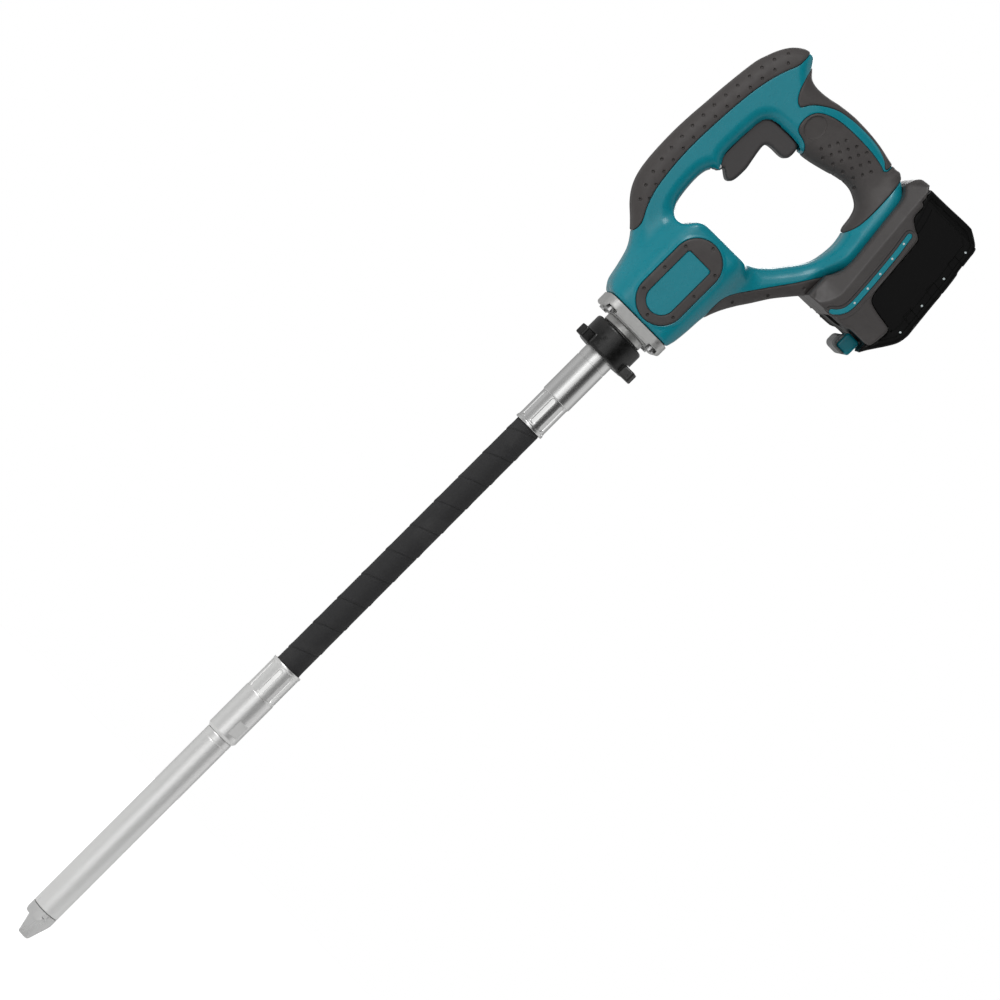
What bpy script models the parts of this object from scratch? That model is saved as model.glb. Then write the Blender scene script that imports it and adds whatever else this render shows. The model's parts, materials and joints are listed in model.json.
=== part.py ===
"""Cordless concrete vibrator: D-handle drive unit, coupling nut, hose and vibrating head.

Frame: origin at the centre of the nose's flat end face, +Z up the rod towards the handle,
+X in the housing's middle plane towards the battery, Y across the housing.
Outlines are written in millimetres and turned into metres by the builders below.
"""
import math

import bmesh
import bpy
from mathutils import Matrix, Vector

MM = 0.001
GAP = 0.3                    # clearance between neighbouring pieces
BIG = 400.0                  # half size of the blocks that cut things in two

# rod: radii and heights along Z
NOSE_TIP_R = 5.8
HEAD_R = 12.5
HEAD_BORE_R = 9.6
NOSE_TOP = 27.0
HEAD_TOP = 224.7
LOWER_SLEEVE = (225.0, 302.0)
UPPER_SLEEVE = (574.5, 664.0)
SLEEVE_R = 14.2
UPPER_SLEEVE_R = 13.85
HOSE_R = 11.8
HOSE_BORE_R = 6.5
HOSE_ENDS = (281.0, 596.0)
FLEX_R = 3.5
JOURNAL_R = 3.0
WEIGHT_R = 8.2
NUT = (655.0, 679.0)
NUT_R = 23.5
WING_REACH = 33.6
WING_COUNT = 3
WING_TURN = -25.0            # degrees from +X to the first wing
FLAT_REACH = 13.1            # spanner flats: distance from the axis
FLAT_TURN = -60.0            # degrees from +X to the first flat
FLAT_ENDS = (232.0, 245.0)
BOSS_R = 18.75
FLANGE = (686.0, 696.5)
FLANGE_HALF = 31.5
FLANGE_SCREW = 22.5          # screw places, plus and minus, in X and Y

# drive unit
HANDLE_HALF = 17.0           # half thickness of the handle bars
BARREL_HALF = 33.3           # half width of the square motor barrel
BARREL_BORE_R = 29.5
PAD_DEPTH = 2.5              # thickness of the soft overmoulds
TRIGGER_HALF = 9.0
TRIGGER_PIVOT = (-40.5, 829.5)
TRIGGER_PIN_R = 1.5
FOOT_HALF = 38.5
BATTERY_HALF = 36.0
BATTERY_TOP = (88.8, 936.3)  # upper end of the rail face, in X and Z
RAIL_TILT = 6.5              # degrees between the rail face and Z

MATERIALS = {
    "teal_plastic": ((0.007, 0.26, 0.33, 1), 0.3, 0.0),
    "grey_rubber": ((0.10, 0.09, 0.088, 1), 0.7, 0.0),
    "trigger_plastic": ((0.07, 0.065, 0.065, 1), 0.5, 0.0),
    "foot_plastic": ((0.075, 0.07, 0.068, 1), 0.55, 0.0),
    "battery_plastic": ((0.012, 0.012, 0.012, 1), 0.4, 0.0),
    "cast_metal": ((0.62, 0.62, 0.61, 1), 0.4, 0.9),
    "bright_metal": ((0.72, 0.72, 0.72, 1), 0.28, 1.0),
    "nut_metal": ((0.03, 0.03, 0.03, 1), 0.45, 0.6),
    "hose_rubber": ((0.035, 0.035, 0.035, 1), 0.85, 0.0),
    "steel": ((0.5, 0.5, 0.5, 1), 0.35, 1.0),
    "copper": ((0.7, 0.35, 0.2, 1), 0.35, 1.0),
    "carbon": ((0.05, 0.05, 0.05, 1), 0.7, 0.0),
    "dark_plastic": ((0.03, 0.03, 0.03, 1), 0.5, 0.0),
    "cells": ((0.5, 0.5, 0.5, 1), 0.45, 0.6),
}

# outlines in the middle plane (X, Z)
SILHOUETTE = [
    (-32.5, 697.4), (-38, 704), (-42, 718), (-47, 733), (-54, 743), (-71, 760), (-78, 770),
    (-82.5, 782), (-85.5, 800), (-86, 820), (-85.5, 840), (-82.5, 880), (-79, 910), (-72, 930),
    (-66, 940), (-59, 945), (-53, 946.5), (-48, 945.5), (-44, 941), (-37, 932.5), (-31, 930.5),
    (-20, 930.8), (-5, 934), (10, 936), (30, 935.5), (48, 933), (62, 930), (66, 930.6),
    (71.5, 924.5), (77.5, 917), (81.5, 898), (84, 875), (85.7, 855), (85, 840), (81.5, 832),
    (79.5, 828), (79.5, 802), (74, 797), (65, 785), (56, 771), (49, 761.5), (41, 749),
    (37.5, 735), (36.3, 718), (34.5, 704), (32.5, 697.4)]
OPENING = [
    (-44, 840), (-36, 829), (-37, 826), (-43, 822.5), (-45, 818), (-45.5, 805), (-43, 786),
    (-40, 779), (-36, 776), (-30, 776), (-24, 783), (-19, 787), (-10, 788.5), (19, 789),
    (34, 793), (44, 801), (54, 813), (65, 828), (68.5, 845), (69.5, 856), (66, 863), (65, 872),
    (62, 883), (57, 889), (51, 891.5), (44, 893), (29, 890.5), (9, 885), (-4, 883.5),
    (-8, 888.5), (-34, 887), (-41, 884), (-43, 876), (-44.5, 858)]
FRONT_PAD = [
    (-53, 960), (-53, 940), (-53, 930), (-59.5, 912), (-63.5, 890), (-66.3, 860), (-67.4, 825),
    (-66, 800), (-63.5, 780), (-57, 762), (-52.5, 752), (-53.5, 743), (-60, 730), (-110, 740),
    (-110, 960)]
REAR_PAD = [
    (0, 876), (1, 884), (-1, 889), (-6, 892.5), (-15, 895), (-18, 899), (-19, 905), (-17.5, 912),
    (-13, 918), (-6, 922), (4, 925), (20, 926), (40, 925.5), (57, 923.5), (66, 929), (67, 931.2),
    (72, 924), (72.3, 910), (73, 890), (72.5, 876), (69, 865), (64, 861), (58, 868), (40, 880)]
SPINE_PAD = [
    (-47, 950), (-43.5, 938), (-40.5, 928), (-38, 919), (-34, 913), (-29, 910), (-25, 914),
    (-19, 921.5), (-12, 927), (-5, 930.5), (6, 933), (28, 934), (42, 932.6), (52, 929),
    (58, 925.5), (65, 931.5), (60, 950)]
BUMPER = [
    (36, 733), (36, 745), (36.5, 757), (41, 767), (47, 776.5), (60, 796), (67, 806), (74, 816),
    (79.3, 824), (90, 830), (90, 790), (60, 755), (44, 735)]
TRIGGER = [
    (-36, 831.5), (-37.4, 828.2), (-40.5, 826.3), (-43.4, 828), (-44.2, 834), (-43.2, 841),
    (-42.5, 860), (-41.2, 877), (-38.5, 882.5), (-33, 885.5), (-15, 887.2), (-9, 887), (-5.5, 884), (-5.2, 877), (-7.5, 872), (-12, 870.5), (-23, 870.3),
    (-26.5, 868.5), (-27.2, 863), (-25.5, 852), (-24, 845), (-24.2, 832), (-27, 828), (-31, 828)]
TRIGGER_POCKET = [
    (-30, 826), (-33, 823.5), (-45.5, 823.5), (-47.5, 830), (-51.5, 845), (-52, 888), (-44, 893.5),
    (-8, 893.8), (-3.6, 890), (-4.2, 875), (-20, 862), (-20, 840)]
LUG_POINTS = 4               # the opening's first points, around the trigger's lug
FOOT = [
    (66.9, 931.0), (70.5, 932.8), (75, 937.2), (80, 939.8), (86, 939.8), (87.6, 936), (92, 926),
    (95.6, 919), (95.8, 911), (103, 903.5), (111.4, 899.5), (113.4, 880), (115.9, 853), (117.4, 841),
    (120.4, 837), (131.4, 834.7), (143.4, 832.2), (146, 829), (145.4, 818), (143.8, 811.4), (124, 811),
    (120, 807), (103.6, 806), (80.1, 804.6), (80.1, 827.6), (82.2, 831.6), (85.6, 840), (86.3, 855),
    (84.6, 875), (82.1, 898), (78.1, 917.4), (72.0, 925)]
STRIPE = [
    (102.6, 897), (106.6, 897.4), (109, 873), (111, 853), (113.4, 828), (112.8, 822), (110.4, 814.4),
    (106.4, 809.4), (103.2, 807.8), (106.2, 812.6), (108.8, 821), (109.4, 828), (107.2, 853), (105.2, 873)]
STADIUM_HALF = 20.6          # badge ring: half width, and the ends along Z
BADGE_RING = (700.0, 782.0)
BADGE_PLATE = (708.5, 765.0)
PLATE_HALF = 12.6
HOUSING_SCREWS = [(-53, 829), (-50.5, 920), (-45, 752), (50, 789)]


def clear_scene():
    """Remove every object that the file starts with."""
    for thing in list(bpy.data.objects):
        bpy.data.objects.remove(thing, do_unlink=True)


def make_materials():
    made = {}
    for name, (colour, roughness, metallic) in MATERIALS.items():
        mat = bpy.data.materials.new(name)
        mat.use_nodes = True
        shader = mat.node_tree.nodes["Principled BSDF"]
        shader.inputs["Base Color"].default_value = colour
        shader.inputs["Roughness"].default_value = roughness
        shader.inputs["Metallic"].default_value = metallic
        mat.diffuse_color = colour
        made[name] = mat
    return made


def to_object(name, bm, mat=None):
    """Finish a mesh that was built in millimetres and put it in the scene in metres."""
    bmesh.ops.recalc_face_normals(bm, faces=bm.faces)
    bmesh.ops.scale(bm, vec=Vector((MM, MM, MM)), verts=bm.verts)
    mesh = bpy.data.meshes.new(name)
    bm.to_mesh(mesh)
    bm.free()
    mesh.shade_smooth()
    mesh.set_sharp_from_angle(angle=math.radians(32))
    thing = bpy.data.objects.new(name, mesh)
    bpy.context.scene.collection.objects.link(thing)
    if mat:
        mesh.materials.append(mat)
    return thing


def rings_to_mesh(rings):
    """Skin a list of equal rings, in order, and cap both ends."""
    bm = bmesh.new()
    loops = [[bm.verts.new(point) for point in ring] for ring in rings]
    count = len(loops[0])
    for low, high in zip(loops, loops[1:]):
        for i in range(count):
            j = (i + 1) % count
            bm.faces.new((low[i], low[j], high[j], high[i]))
    bm.faces.new(loops[0])
    bm.faces.new(loops[-1])
    return bm


def moved_in(outline, distance):
    """Move each corner of a closed outline inwards by a distance."""
    area = sum(a[0] * b[1] - b[0] * a[1] for a, b in zip(outline, outline[1:] + outline[:1]))
    turn = 1.0 if area > 0 else -1.0
    moved = []
    for i, here in enumerate(outline):
        before = Vector(outline[i - 1])
        after = Vector(outline[(i + 1) % len(outline)])
        here = Vector(here)
        first = (here - before).normalized()
        second = (after - here).normalized()
        normal = Vector((-(first.y + second.y), first.x + second.x)) * turn
        normal.normalize()
        cosine = max(0.5, abs(normal.dot(Vector((-first.y, first.x)))))
        moved.append(tuple(here + normal * (distance / cosine)))
    return moved


def slab(name, outline, layers, mat=None):
    """A plate across Y: layers are (y, inset) pairs in order."""
    rings = []
    for y, inset in layers:
        ring = moved_in(outline, inset) if inset else outline
        rings.append([(x, y, z) for x, z in ring])
    return to_object(name, rings_to_mesh(rings), mat)


def turned(name, profile, mat=None, segments=24, centre=(0.0, 0.0)):
    """Turn a closed profile of (radius, z) points about Z; radius 0 points close on the axis."""
    bm = bmesh.new()
    rows = []
    for radius, z in profile:
        if radius == 0:
            rows.append([bm.verts.new((centre[0], centre[1], z))])
            continue
        ring = []
        for i in range(segments):
            angle = math.tau * i / segments
            ring.append(bm.verts.new((centre[0] + radius * math.cos(angle),
                                      centre[1] + radius * math.sin(angle), z)))
        rows.append(ring)
    on_axis = profile[0][0] == 0
    pairs = list(zip(rows, rows[1:]))
    if not on_axis:
        pairs.append((rows[-1], rows[0]))
    for low, high in pairs:
        for i in range(segments):
            j = (i + 1) % segments
            if len(low) == 1:
                bm.faces.new((low[0], high[j], high[i]))
            elif len(high) == 1:
                bm.faces.new((low[i], low[j], high[0]))
            else:
                bm.faces.new((low[i], low[j], high[j], high[i]))
    return to_object(name, bm, mat)


def tube(name, outer, inner, low, high, mat, segments=24):
    """A plain ring or sleeve about Z."""
    return turned(name, [(inner, low), (outer, low), (outer, high), (inner, high)], mat, segments)


def box(name, low, high, mat=None):
    rings = [[(low[0], low[1], z), (high[0], low[1], z), (high[0], high[1], z), (low[0], high[1], z)]
             for z in (low[2], high[2])]
    return to_object(name, rings_to_mesh(rings), mat)


def stepped_rod(name, centre, steps, mat=None, segments=12):
    """A round rod along Y through a point given in X and Z; steps are (y, radius) pairs."""
    rings = []
    for y, radius in steps:
        rings.append([(centre[0] + radius * math.cos(math.tau * i / segments), y,
                       centre[1] + radius * math.sin(math.tau * i / segments))
                      for i in range(segments)])
    return to_object(name, rings_to_mesh(rings), mat)


def rod_across(name, centre, radius, y_low, y_high, mat=None, segments=16):
    """A plain round rod along Y."""
    return stepped_rod(name, centre, [(y_low, radius), (y_high, radius)], mat, segments)


def rod_along_x(name, y, z, radius, x_low, x_high, mat=None, segments=16):
    """A round rod along X."""
    rings = []
    for x in (x_low, x_high):
        rings.append([(x, y + radius * math.cos(math.tau * i / segments),
                       z + radius * math.sin(math.tau * i / segments)) for i in range(segments)])
    return to_object(name, rings_to_mesh(rings), mat)


def combine(target, other, operation, keep=False):
    """Apply one Boolean to the target, and remove the other object unless it is kept."""
    step = target.modifiers.new(operation.lower(), "BOOLEAN")
    step.operation = operation
    step.object = other
    step.solver = "EXACT"
    bake(target)
    if not keep:
        bpy.data.objects.remove(other, do_unlink=True)
    return target


def bake(thing):
    """Replace an object's mesh with its evaluated one."""
    graph = bpy.context.evaluated_depsgraph_get()
    graph.update()
    mesh = bpy.data.meshes.new_from_object(thing.evaluated_get(graph))
    thing.modifiers.clear()
    thing.data = mesh
    mesh.shade_smooth()
    mesh.set_sharp_from_angle(angle=math.radians(32))


def copy_of(thing, name):
    twin = bpy.data.objects.new(name, thing.data.copy())
    bpy.context.scene.collection.objects.link(twin)
    return twin


def finish(thing, name, mat):
    """Give a combined solid its name and its one material, and weld away slivers."""
    thing.name = name
    bm = bmesh.new()
    bm.from_mesh(thing.data)
    bmesh.ops.remove_doubles(bm, verts=bm.verts, dist=0.00002)
    bmesh.ops.dissolve_degenerate(bm, edges=bm.edges, dist=0.00001)
    for face in bm.faces:
        face.material_index = 0
    bm.to_mesh(thing.data)
    bm.free()
    thing.data.materials.clear()
    thing.data.materials.append(mat)
    thing.data.name = name
    return thing


def mirrored(thing, name):
    """The same piece on the other side of the middle plane."""
    twin = copy_of(thing, name)
    bm = bmesh.new()
    bm.from_mesh(twin.data)
    bmesh.ops.transform(bm, matrix=Matrix.Scale(-1, 4, Vector((0, 1, 0))), verts=bm.verts)
    bmesh.ops.reverse_faces(bm, faces=bm.faces)
    bm.to_mesh(twin.data)
    bm.free()
    twin.data.name = name
    return twin


def rail(down, out):
    """X and Z of a point given along the battery's slide direction and out from the rail face."""
    tilt = math.radians(RAIL_TILT)
    return (BATTERY_TOP[0] + down * math.sin(tilt) + out * math.cos(tilt),
            BATTERY_TOP[1] - down * math.cos(tilt) + out * math.sin(tilt))


def rail_block(name, down, out, y_low, y_high, mat=None):
    """A block square to the battery's slide direction."""
    outline = [rail(down[0], out[0]), rail(down[1], out[0]), rail(down[1], out[1]),
               rail(down[0], out[1])]
    return slab(name, outline, [(y_low, 0), (y_high, 0)], mat)


def rounded_square(half, corner, z, steps=4):
    ring = []
    for quarter in range(4):
        middle = math.radians(45 + 90 * quarter)
        centre = Vector((math.copysign(half - corner, math.cos(middle)),
                         math.copysign(half - corner, math.sin(middle))))
        for i in range(steps + 1):
            angle = math.radians(90 * quarter + 90 * i / steps)
            ring.append((centre.x + corner * math.cos(angle), centre.y + corner * math.sin(angle), z))
    return ring


def stadium(half, low, high, flat_top=False, steps=8):
    """An upright oval outline; with flat_top only its lower end is round."""
    outline = []
    for i in range(steps + 1):
        angle = math.pi + math.pi * i / steps
        outline.append((half * math.cos(angle), low + half + half * math.sin(angle)))
    if flat_top:
        outline += [(half, high), (-half, high)]
        return outline
    for i in range(steps + 1):
        angle = math.pi * i / steps
        outline.append((half * math.cos(angle), high - half + half * math.sin(angle)))
    return outline


# ---------------------------------------------------------------- rod and head

def make_rod(mats):
    bright = mats["bright_metal"]
    nose = [(0, 0), (NOSE_TIP_R, 0), (6.6, 0.8), (8.0, 5), (9.5, 10), (11.2, 15), (HEAD_R, 20),
            (HEAD_R, NOSE_TOP), (HEAD_BORE_R - GAP, NOSE_TOP), (HEAD_BORE_R - GAP, 36), (0, 36)]
    nose_piece = turned("nose", nose, None)
    for side in (-1, 1):
        low_y, high_y = sorted((side * 9.6, side * 30))
        combine(nose_piece, box("flat", (-30, low_y, 3), (30, high_y, 22)), "DIFFERENCE")
    finish(nose_piece, "nose", bright)
    turned("head_tube", [
        (HEAD_BORE_R, NOSE_TOP + GAP), (HEAD_R, NOSE_TOP + GAP), (HEAD_R, HEAD_TOP), (10.5, HEAD_TOP),
        (10.5, 240), (HEAD_BORE_R - 1.6, 240), (HEAD_BORE_R - 1.6, 212), (HEAD_BORE_R, 212)], bright)
    low, high = LOWER_SLEEVE
    sleeve = turned("lower_sleeve", [
        (10.8, low), (12.9, low), (SLEEVE_R, low + 2.5), (SLEEVE_R, 270), (13.8, 271), (13.8, 299.5),
        (SLEEVE_R, 300), (SLEEVE_R, high), (HOSE_R + GAP, high), (HOSE_R + GAP, HOSE_ENDS[0] - GAP),
        (8, HOSE_ENDS[0] - GAP), (8, 240.3), (10.8, 240.3)], None)
    for side in (0, 180):
        flat = box("flat", (FLAT_REACH, -30, FLAT_ENDS[0]), (30, 30, FLAT_ENDS[1]))
        flat.data.transform(Matrix.Rotation(math.radians(FLAT_TURN + side), 4, "Z"))
        combine(sleeve, flat, "DIFFERENCE")
    finish(sleeve, "lower_sleeve", bright)
    tube("hose", HOSE_R, HOSE_BORE_R, HOSE_ENDS[0], HOSE_ENDS[1], mats["hose_rubber"], 32)
    low, high = UPPER_SLEEVE
    turned("upper_sleeve", [
        (HOSE_R + GAP, low), (13.75, low), (13.75, 577), (13.2, 577.5), (13.2, 605.5),
        (UPPER_SLEEVE_R, 606.5), (UPPER_SLEEVE_R, 660), (16.9, 660), (16.9, high), (7.5, high),
        (7.5, HOSE_ENDS[1] + GAP), (HOSE_R + GAP, HOSE_ENDS[1] + GAP)], bright)


def make_head_insides(mats):
    steel = mats["steel"]
    for name, low, high in (("head_bearing_lower", 44, 52), ("head_bearing_upper", 190, 198)):
        tube(name, HEAD_BORE_R - GAP, JOURNAL_R + GAP, low, high, steel)
    tube("oil_seal", HEAD_BORE_R - GAP, JOURNAL_R + GAP, 203, 209, mats["grey_rubber"])
    weight = turned("weight", [(0, 40), (JOURNAL_R, 40), (JOURNAL_R, 60), (WEIGHT_R, 60),
                               (WEIGHT_R, 182), (JOURNAL_R, 182), (JOURNAL_R, 215), (0, 215)])
    combine(weight, box("cut", (-20, 1.5, 66), (20, 20, 176)), "DIFFERENCE")
    finish(weight, "eccentric_weight", steel)


def make_drive(mats):
    steel = mats["steel"]
    turned("flex_shaft", [(0, 215.3), (FLEX_R, 215.3), (FLEX_R, 668), (0, 668)], steel, 16)
    turned("drive_coupling", [(0, 668.3), (6, 668.3), (6, 683), (0, 683)], steel, 16)
    turned("motor_shaft", [(0, 683.3), (JOURNAL_R, 683.3), (JOURNAL_R, 781), (0, 781)], steel, 16)
    tube("motor_bearing_lower", 11, JOURNAL_R + GAP, 688, 696, steel)
    tube("motor_bearing_upper", 8, JOURNAL_R + GAP, 772, 779, steel)
    tube("armature", 19, JOURNAL_R + GAP, 720, 754, steel)
    tube("commutator", 9, JOURNAL_R + GAP, 757, 768, mats["copper"])
    tube("motor_can", 26.5, 21, 713, 764, mats["cast_metal"])
    fan = tube("fan", 24, JOURNAL_R + GAP, 701, 703, None)
    for i in range(8):
        blade = box("blade", (6, -0.8, 702), (23, 0.8, 709))
        blade.data.transform(Matrix.Rotation(math.tau * i / 8, 4, "Z"))
        combine(fan, blade, "UNION")
    finish(fan, "fan", mats["dark_plastic"])
    for name, side in (("brush_left", -1), ("brush_right", 1)):
        low_x, high_x = sorted((side * 9.4, side * 18))
        box(name, (low_x, -3, 759), (high_x, 3, 766), mats["carbon"])


def make_coupling(mats):
    """Cast flange with its boss, the corner screws and the winged nut."""
    flange = to_object("flange", rings_to_mesh([
        rounded_square(FLANGE_HALF - 2.5, 9.5, FLANGE[0]), rounded_square(FLANGE_HALF, 12, FLANGE[0] + 2.5),
        rounded_square(FLANGE_HALF, 12, FLANGE[1])]))
    combine(flange, turned("pocket", [(0, 687.7), (11.3, 687.7), (11.3, 700), (0, 700)]), "DIFFERENCE")
    combine(flange, turned("bore", [(0, 680), (9, 680), (9, 690), (0, 690)]), "DIFFERENCE")
    for i, (x, y) in enumerate(screw_corners()):
        hole = turned("hole", [(0, 680), (2.3, 680), (2.3, 700), (0, 700)], None, 12, (x, y))
        combine(flange, hole, "DIFFERENCE")
        seat = turned("seat", [(0, 680), (4.6, 680), (4.6, 688.5), (0, 688.5)], None, 12, (x, y))
        combine(flange, seat, "DIFFERENCE")
        turned(f"flange_screw_{i + 1}", [
            (0, 684.6), (3.9, 684.6), (3.9, 688.2), (2, 688.2), (2, 696), (0, 696)],
            mats["steel"], 12, (x, y))
    finish(flange, "flange", mats["cast_metal"])
    turned("boss", [
        (9, 664.3), (16.9, 664.3), (16.9, 679.6), (BOSS_R, 680.3), (BOSS_R, 685.7), (9, 685.7)],
        mats["cast_metal"])
    nut = turned("nut", [
        (14.15, NUT[0]), (NUT_R - 0.5, NUT[0]), (NUT_R, NUT[0] + 0.5), (NUT_R, 676.5), (21.5, NUT[1]),
        (17.2, NUT[1]), (17.2, 659.7), (14.15, 659.7)])
    for i in range(WING_COUNT):
        rings = []
        for z, inset in ((NUT[0] + 0.3, 0.8), (NUT[0] + 1.2, 0), (NUT[0] + 8.6, 0), (NUT[0] + 9.6, 0.8)):
            half = 5.2 - inset
            reach = WING_REACH - inset
            rings.append([(18.5, -half - 2, z), (24, -half - 2, z), (27, -half, z), (reach - 2, -half, z),
                          (reach, -half + 2, z), (reach, half - 2, z), (reach - 2, half, z),
                          (27, half, z), (24, half + 2, z), (18.5, half + 2, z)])
        wing = to_object("wing", rings_to_mesh(rings))
        turn = math.radians(WING_TURN) + math.tau * i / WING_COUNT
        wing.data.transform(Matrix.Rotation(turn, 4, "Z"))
        combine(nut, wing, "UNION")
    finish(nut, "coupling_nut", mats["nut_metal"])


def screw_corners():
    return [(sx * FLANGE_SCREW, sy * FLANGE_SCREW) for sx in (-1, 1) for sy in (-1, 1)]


# ---------------------------------------------------------------- drive unit

def handle_solid(name, trim=0.0):
    """The whole near half of the handle and barrel, or a plainer core trimmed all round."""
    half = HANDLE_HALF - trim
    if trim:
        layers = [(3, trim), (-half + 4, trim), (-half, trim + 3)]
        opening = slab("opening", OPENING[LUG_POINTS:], [(20, -trim), (-half - 6, -trim)])
    else:
        layers = [(3, 0), (-half + 9, 0), (-half + 4, 1.2), (-half + 1.2, 4), (-half, 7)]
        opening = slab("opening", OPENING, [(20, 0), (-half + 6, 0), (-half + 2, -1.5), (-half - 6, -7)])
    solid = slab(name, SILHOUETTE, layers)
    combine(solid, opening, "DIFFERENCE")
    rings = []
    for z, shrink in ((696.8 + trim, 0.4), (700, 0), (778, 0), (784, 2.5), (787.5, 7), (788.8 - trim, 13)):
        rings.append(rounded_square(BARREL_HALF - shrink - trim, 15 - shrink * 0.6, z))
    combine(solid, to_object("barrel", rings_to_mesh(rings)), "UNION")
    return solid


def make_housing(mats):
    """Both housing halves and the soft skins moulded over them."""
    core = handle_solid("core", PAD_DEPTH)
    small_core = handle_solid("small_core", PAD_DEPTH + GAP)
    whole = handle_solid("whole")
    skins = (("front_grip", FRONT_PAD), ("rear_grip", REAR_PAD), ("spine_grip", SPINE_PAD),
             ("strut_bumper", BUMPER))
    for name, outline in skins:
        reach = [(5, GAP), (-60, GAP)]
        skin = copy_of(whole, name)
        combine(skin, slab("region", outline, reach), "INTERSECT")
        combine(skin, core, "DIFFERENCE", keep=True)
        combine(skin, middle_cut(), "DIFFERENCE")
        finish(skin, name + "_near", mats["grey_rubber"])
        mirrored(skin, name + "_far")
        groove = slab("groove", outline, [(6, 0), (-61, 0)])
        combine(groove, small_core, "DIFFERENCE", keep=True)
        combine(whole, groove, "DIFFERENCE")
    for left_over in (core, small_core):
        bpy.data.objects.remove(left_over, do_unlink=True)
    for cavity in cavities():
        combine(whole, cavity, "DIFFERENCE")
    combine(whole, middle_cut(), "DIFFERENCE")
    far = copy_of(whole, "far")
    for x, z in HOUSING_SCREWS:
        combine(whole, rod_across("hole", (x, z), 2, -8, 5, None, 12), "DIFFERENCE")
        seat = stepped_rod("seat", (x, z), [(-30, 3.9), (-11.5, 3.9), (-11.5, 2), (5, 2)])
        combine(far, seat, "DIFFERENCE")
    finish(whole, "housing_near", mats["teal_plastic"])
    finish(far, "far", mats["teal_plastic"])
    mirrored(far, "housing_far")
    bpy.data.objects.remove(far, do_unlink=True)
    for i, (x, z) in enumerate(HOUSING_SCREWS):
        steps = [(-7, 1.7), (11.8, 1.7), (11.8, 3.5), (13.8, 3.5), (14.6, 2.4)]
        stepped_rod(f"housing_screw_{i + 1}", (x, z), steps, mats["steel"])


def middle_cut():
    return box("middle", (-BIG, -GAP / 2, 0), (BIG, BIG, 3 * BIG))


def cavities():
    """The hollows of a housing half: motor, switch, trigger and wire ways."""
    made = [turned("motor_room", [(0, 690), (BARREL_BORE_R, 690), (BARREL_BORE_R, 782), (0, 784)])]
    made.append(rod_across("pin_hole", TRIGGER_PIVOT, TRIGGER_PIN_R + GAP, -TRIGGER_HALF - 4, 5))
    made.append(slab("trigger_room", TRIGGER_POCKET, [(20, 0), (-TRIGGER_HALF - 0.5, 0)]))
    made.append(box("switch_room", (-66, -10.5, 840), (-48, 20, 890)))
    made.append(slab("top_way", [(-56, 886), (-56, 912), (-30, 902), (-6, 914), (30, 922), (62, 918),
                                 (76, 900), (76, 868), (69, 876), (62, 896), (40, 900), (6, 893),
                                 (-20, 896), (-49, 886)], [(20, 0), (-9, 0)]))
    made.append(slab("wire_way", [(-66, 845), (-57, 845), (-56, 800), (-52, 785), (-28, 765), (-20, 750),
                                  (-28, 745), (-50, 765), (-68, 790)], [(20, 0), (-8, 0)]))
    made.append(slab("terminal_way", [(66, 880), (100, 884), (100, 868), (66, 864)], [(20, 0), (-7, 0)]))
    return made


def make_badges(mats):
    y_low = -BARREL_HALF - GAP
    layers = [(y_low, 0), (y_low - 0.9, 0), (y_low - 1.5, 0.8)]
    ring = slab("badge_ring", stadium(STADIUM_HALF, *BADGE_RING), layers)
    hole = stadium(PLATE_HALF, *BADGE_PLATE, flat_top=True)
    combine(ring, slab("hole", hole, [(-20, -GAP), (-50, -GAP)]), "DIFFERENCE")
    finish(ring, "badge_ring_near", mats["grey_rubber"])
    mirrored(ring, "badge_ring_far")
    plate = slab("badge_plate_near", hole, [(y_low, 0), (y_low - 0.8, 0)], mats["teal_plastic"])
    mirrored(plate, "badge_plate_far")


def make_trigger(mats):
    layers = [(-TRIGGER_HALF, 1.2), (-TRIGGER_HALF + 1.2, 0), (TRIGGER_HALF - 1.2, 0), (TRIGGER_HALF, 1.2)]
    trigger = slab("trigger", TRIGGER, layers)
    combine(trigger, rod_across("hole", TRIGGER_PIVOT, TRIGGER_PIN_R + GAP, -20, 20), "DIFFERENCE")
    finish(trigger, "trigger", mats["trigger_plastic"])
    set_origin(trigger, TRIGGER_PIVOT)
    reach = TRIGGER_HALF + 3.5
    rod_across("trigger_pin", TRIGGER_PIVOT, TRIGGER_PIN_R, -reach, reach, mats["steel"])
    switch = box("switch", (-65.5, -8, 843), (-52, 8, 884))
    combine(switch, rod_along_x("bore", 0, 862, 2.4, -60, -40), "DIFFERENCE")
    finish(switch, "switch_body", mats["dark_plastic"])
    rod_along_x("switch_plunger", 0, 862, 2, -56, -43.4, mats["trigger_plastic"])
    coil_along_x("plunger_spring", (0, 862), 3.4, 0.5, -51.6, -44.4, 4, mats["steel"])


def coil_along_x(name, centre, radius, wire, x_low, x_high, turns, mat):
    """A small round-wire spring with its axis along X."""
    rings = []
    steps = turns * 10
    for i in range(steps + 1):
        angle = math.tau * turns * i / steps
        out = Vector((0, math.cos(angle), math.sin(angle)))
        middle = Vector((x_low + wire + (x_high - x_low - 2 * wire) * i / steps, centre[0], centre[1]))
        middle += out * radius
        ring = []
        for k in range(6):
            around = math.tau * k / 6
            ring.append(middle + out * wire * math.cos(around) + Vector((wire * math.sin(around), 0, 0)))
        rings.append(ring)
    return to_object(name, rings_to_mesh(rings), mat)


def set_origin(thing, pivot):
    """Move an object's origin to a point of the middle plane without moving its shape."""
    place = Vector((pivot[0] * MM, 0, pivot[1] * MM))
    thing.data.transform(Matrix.Translation(-place))
    thing.location = place


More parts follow.
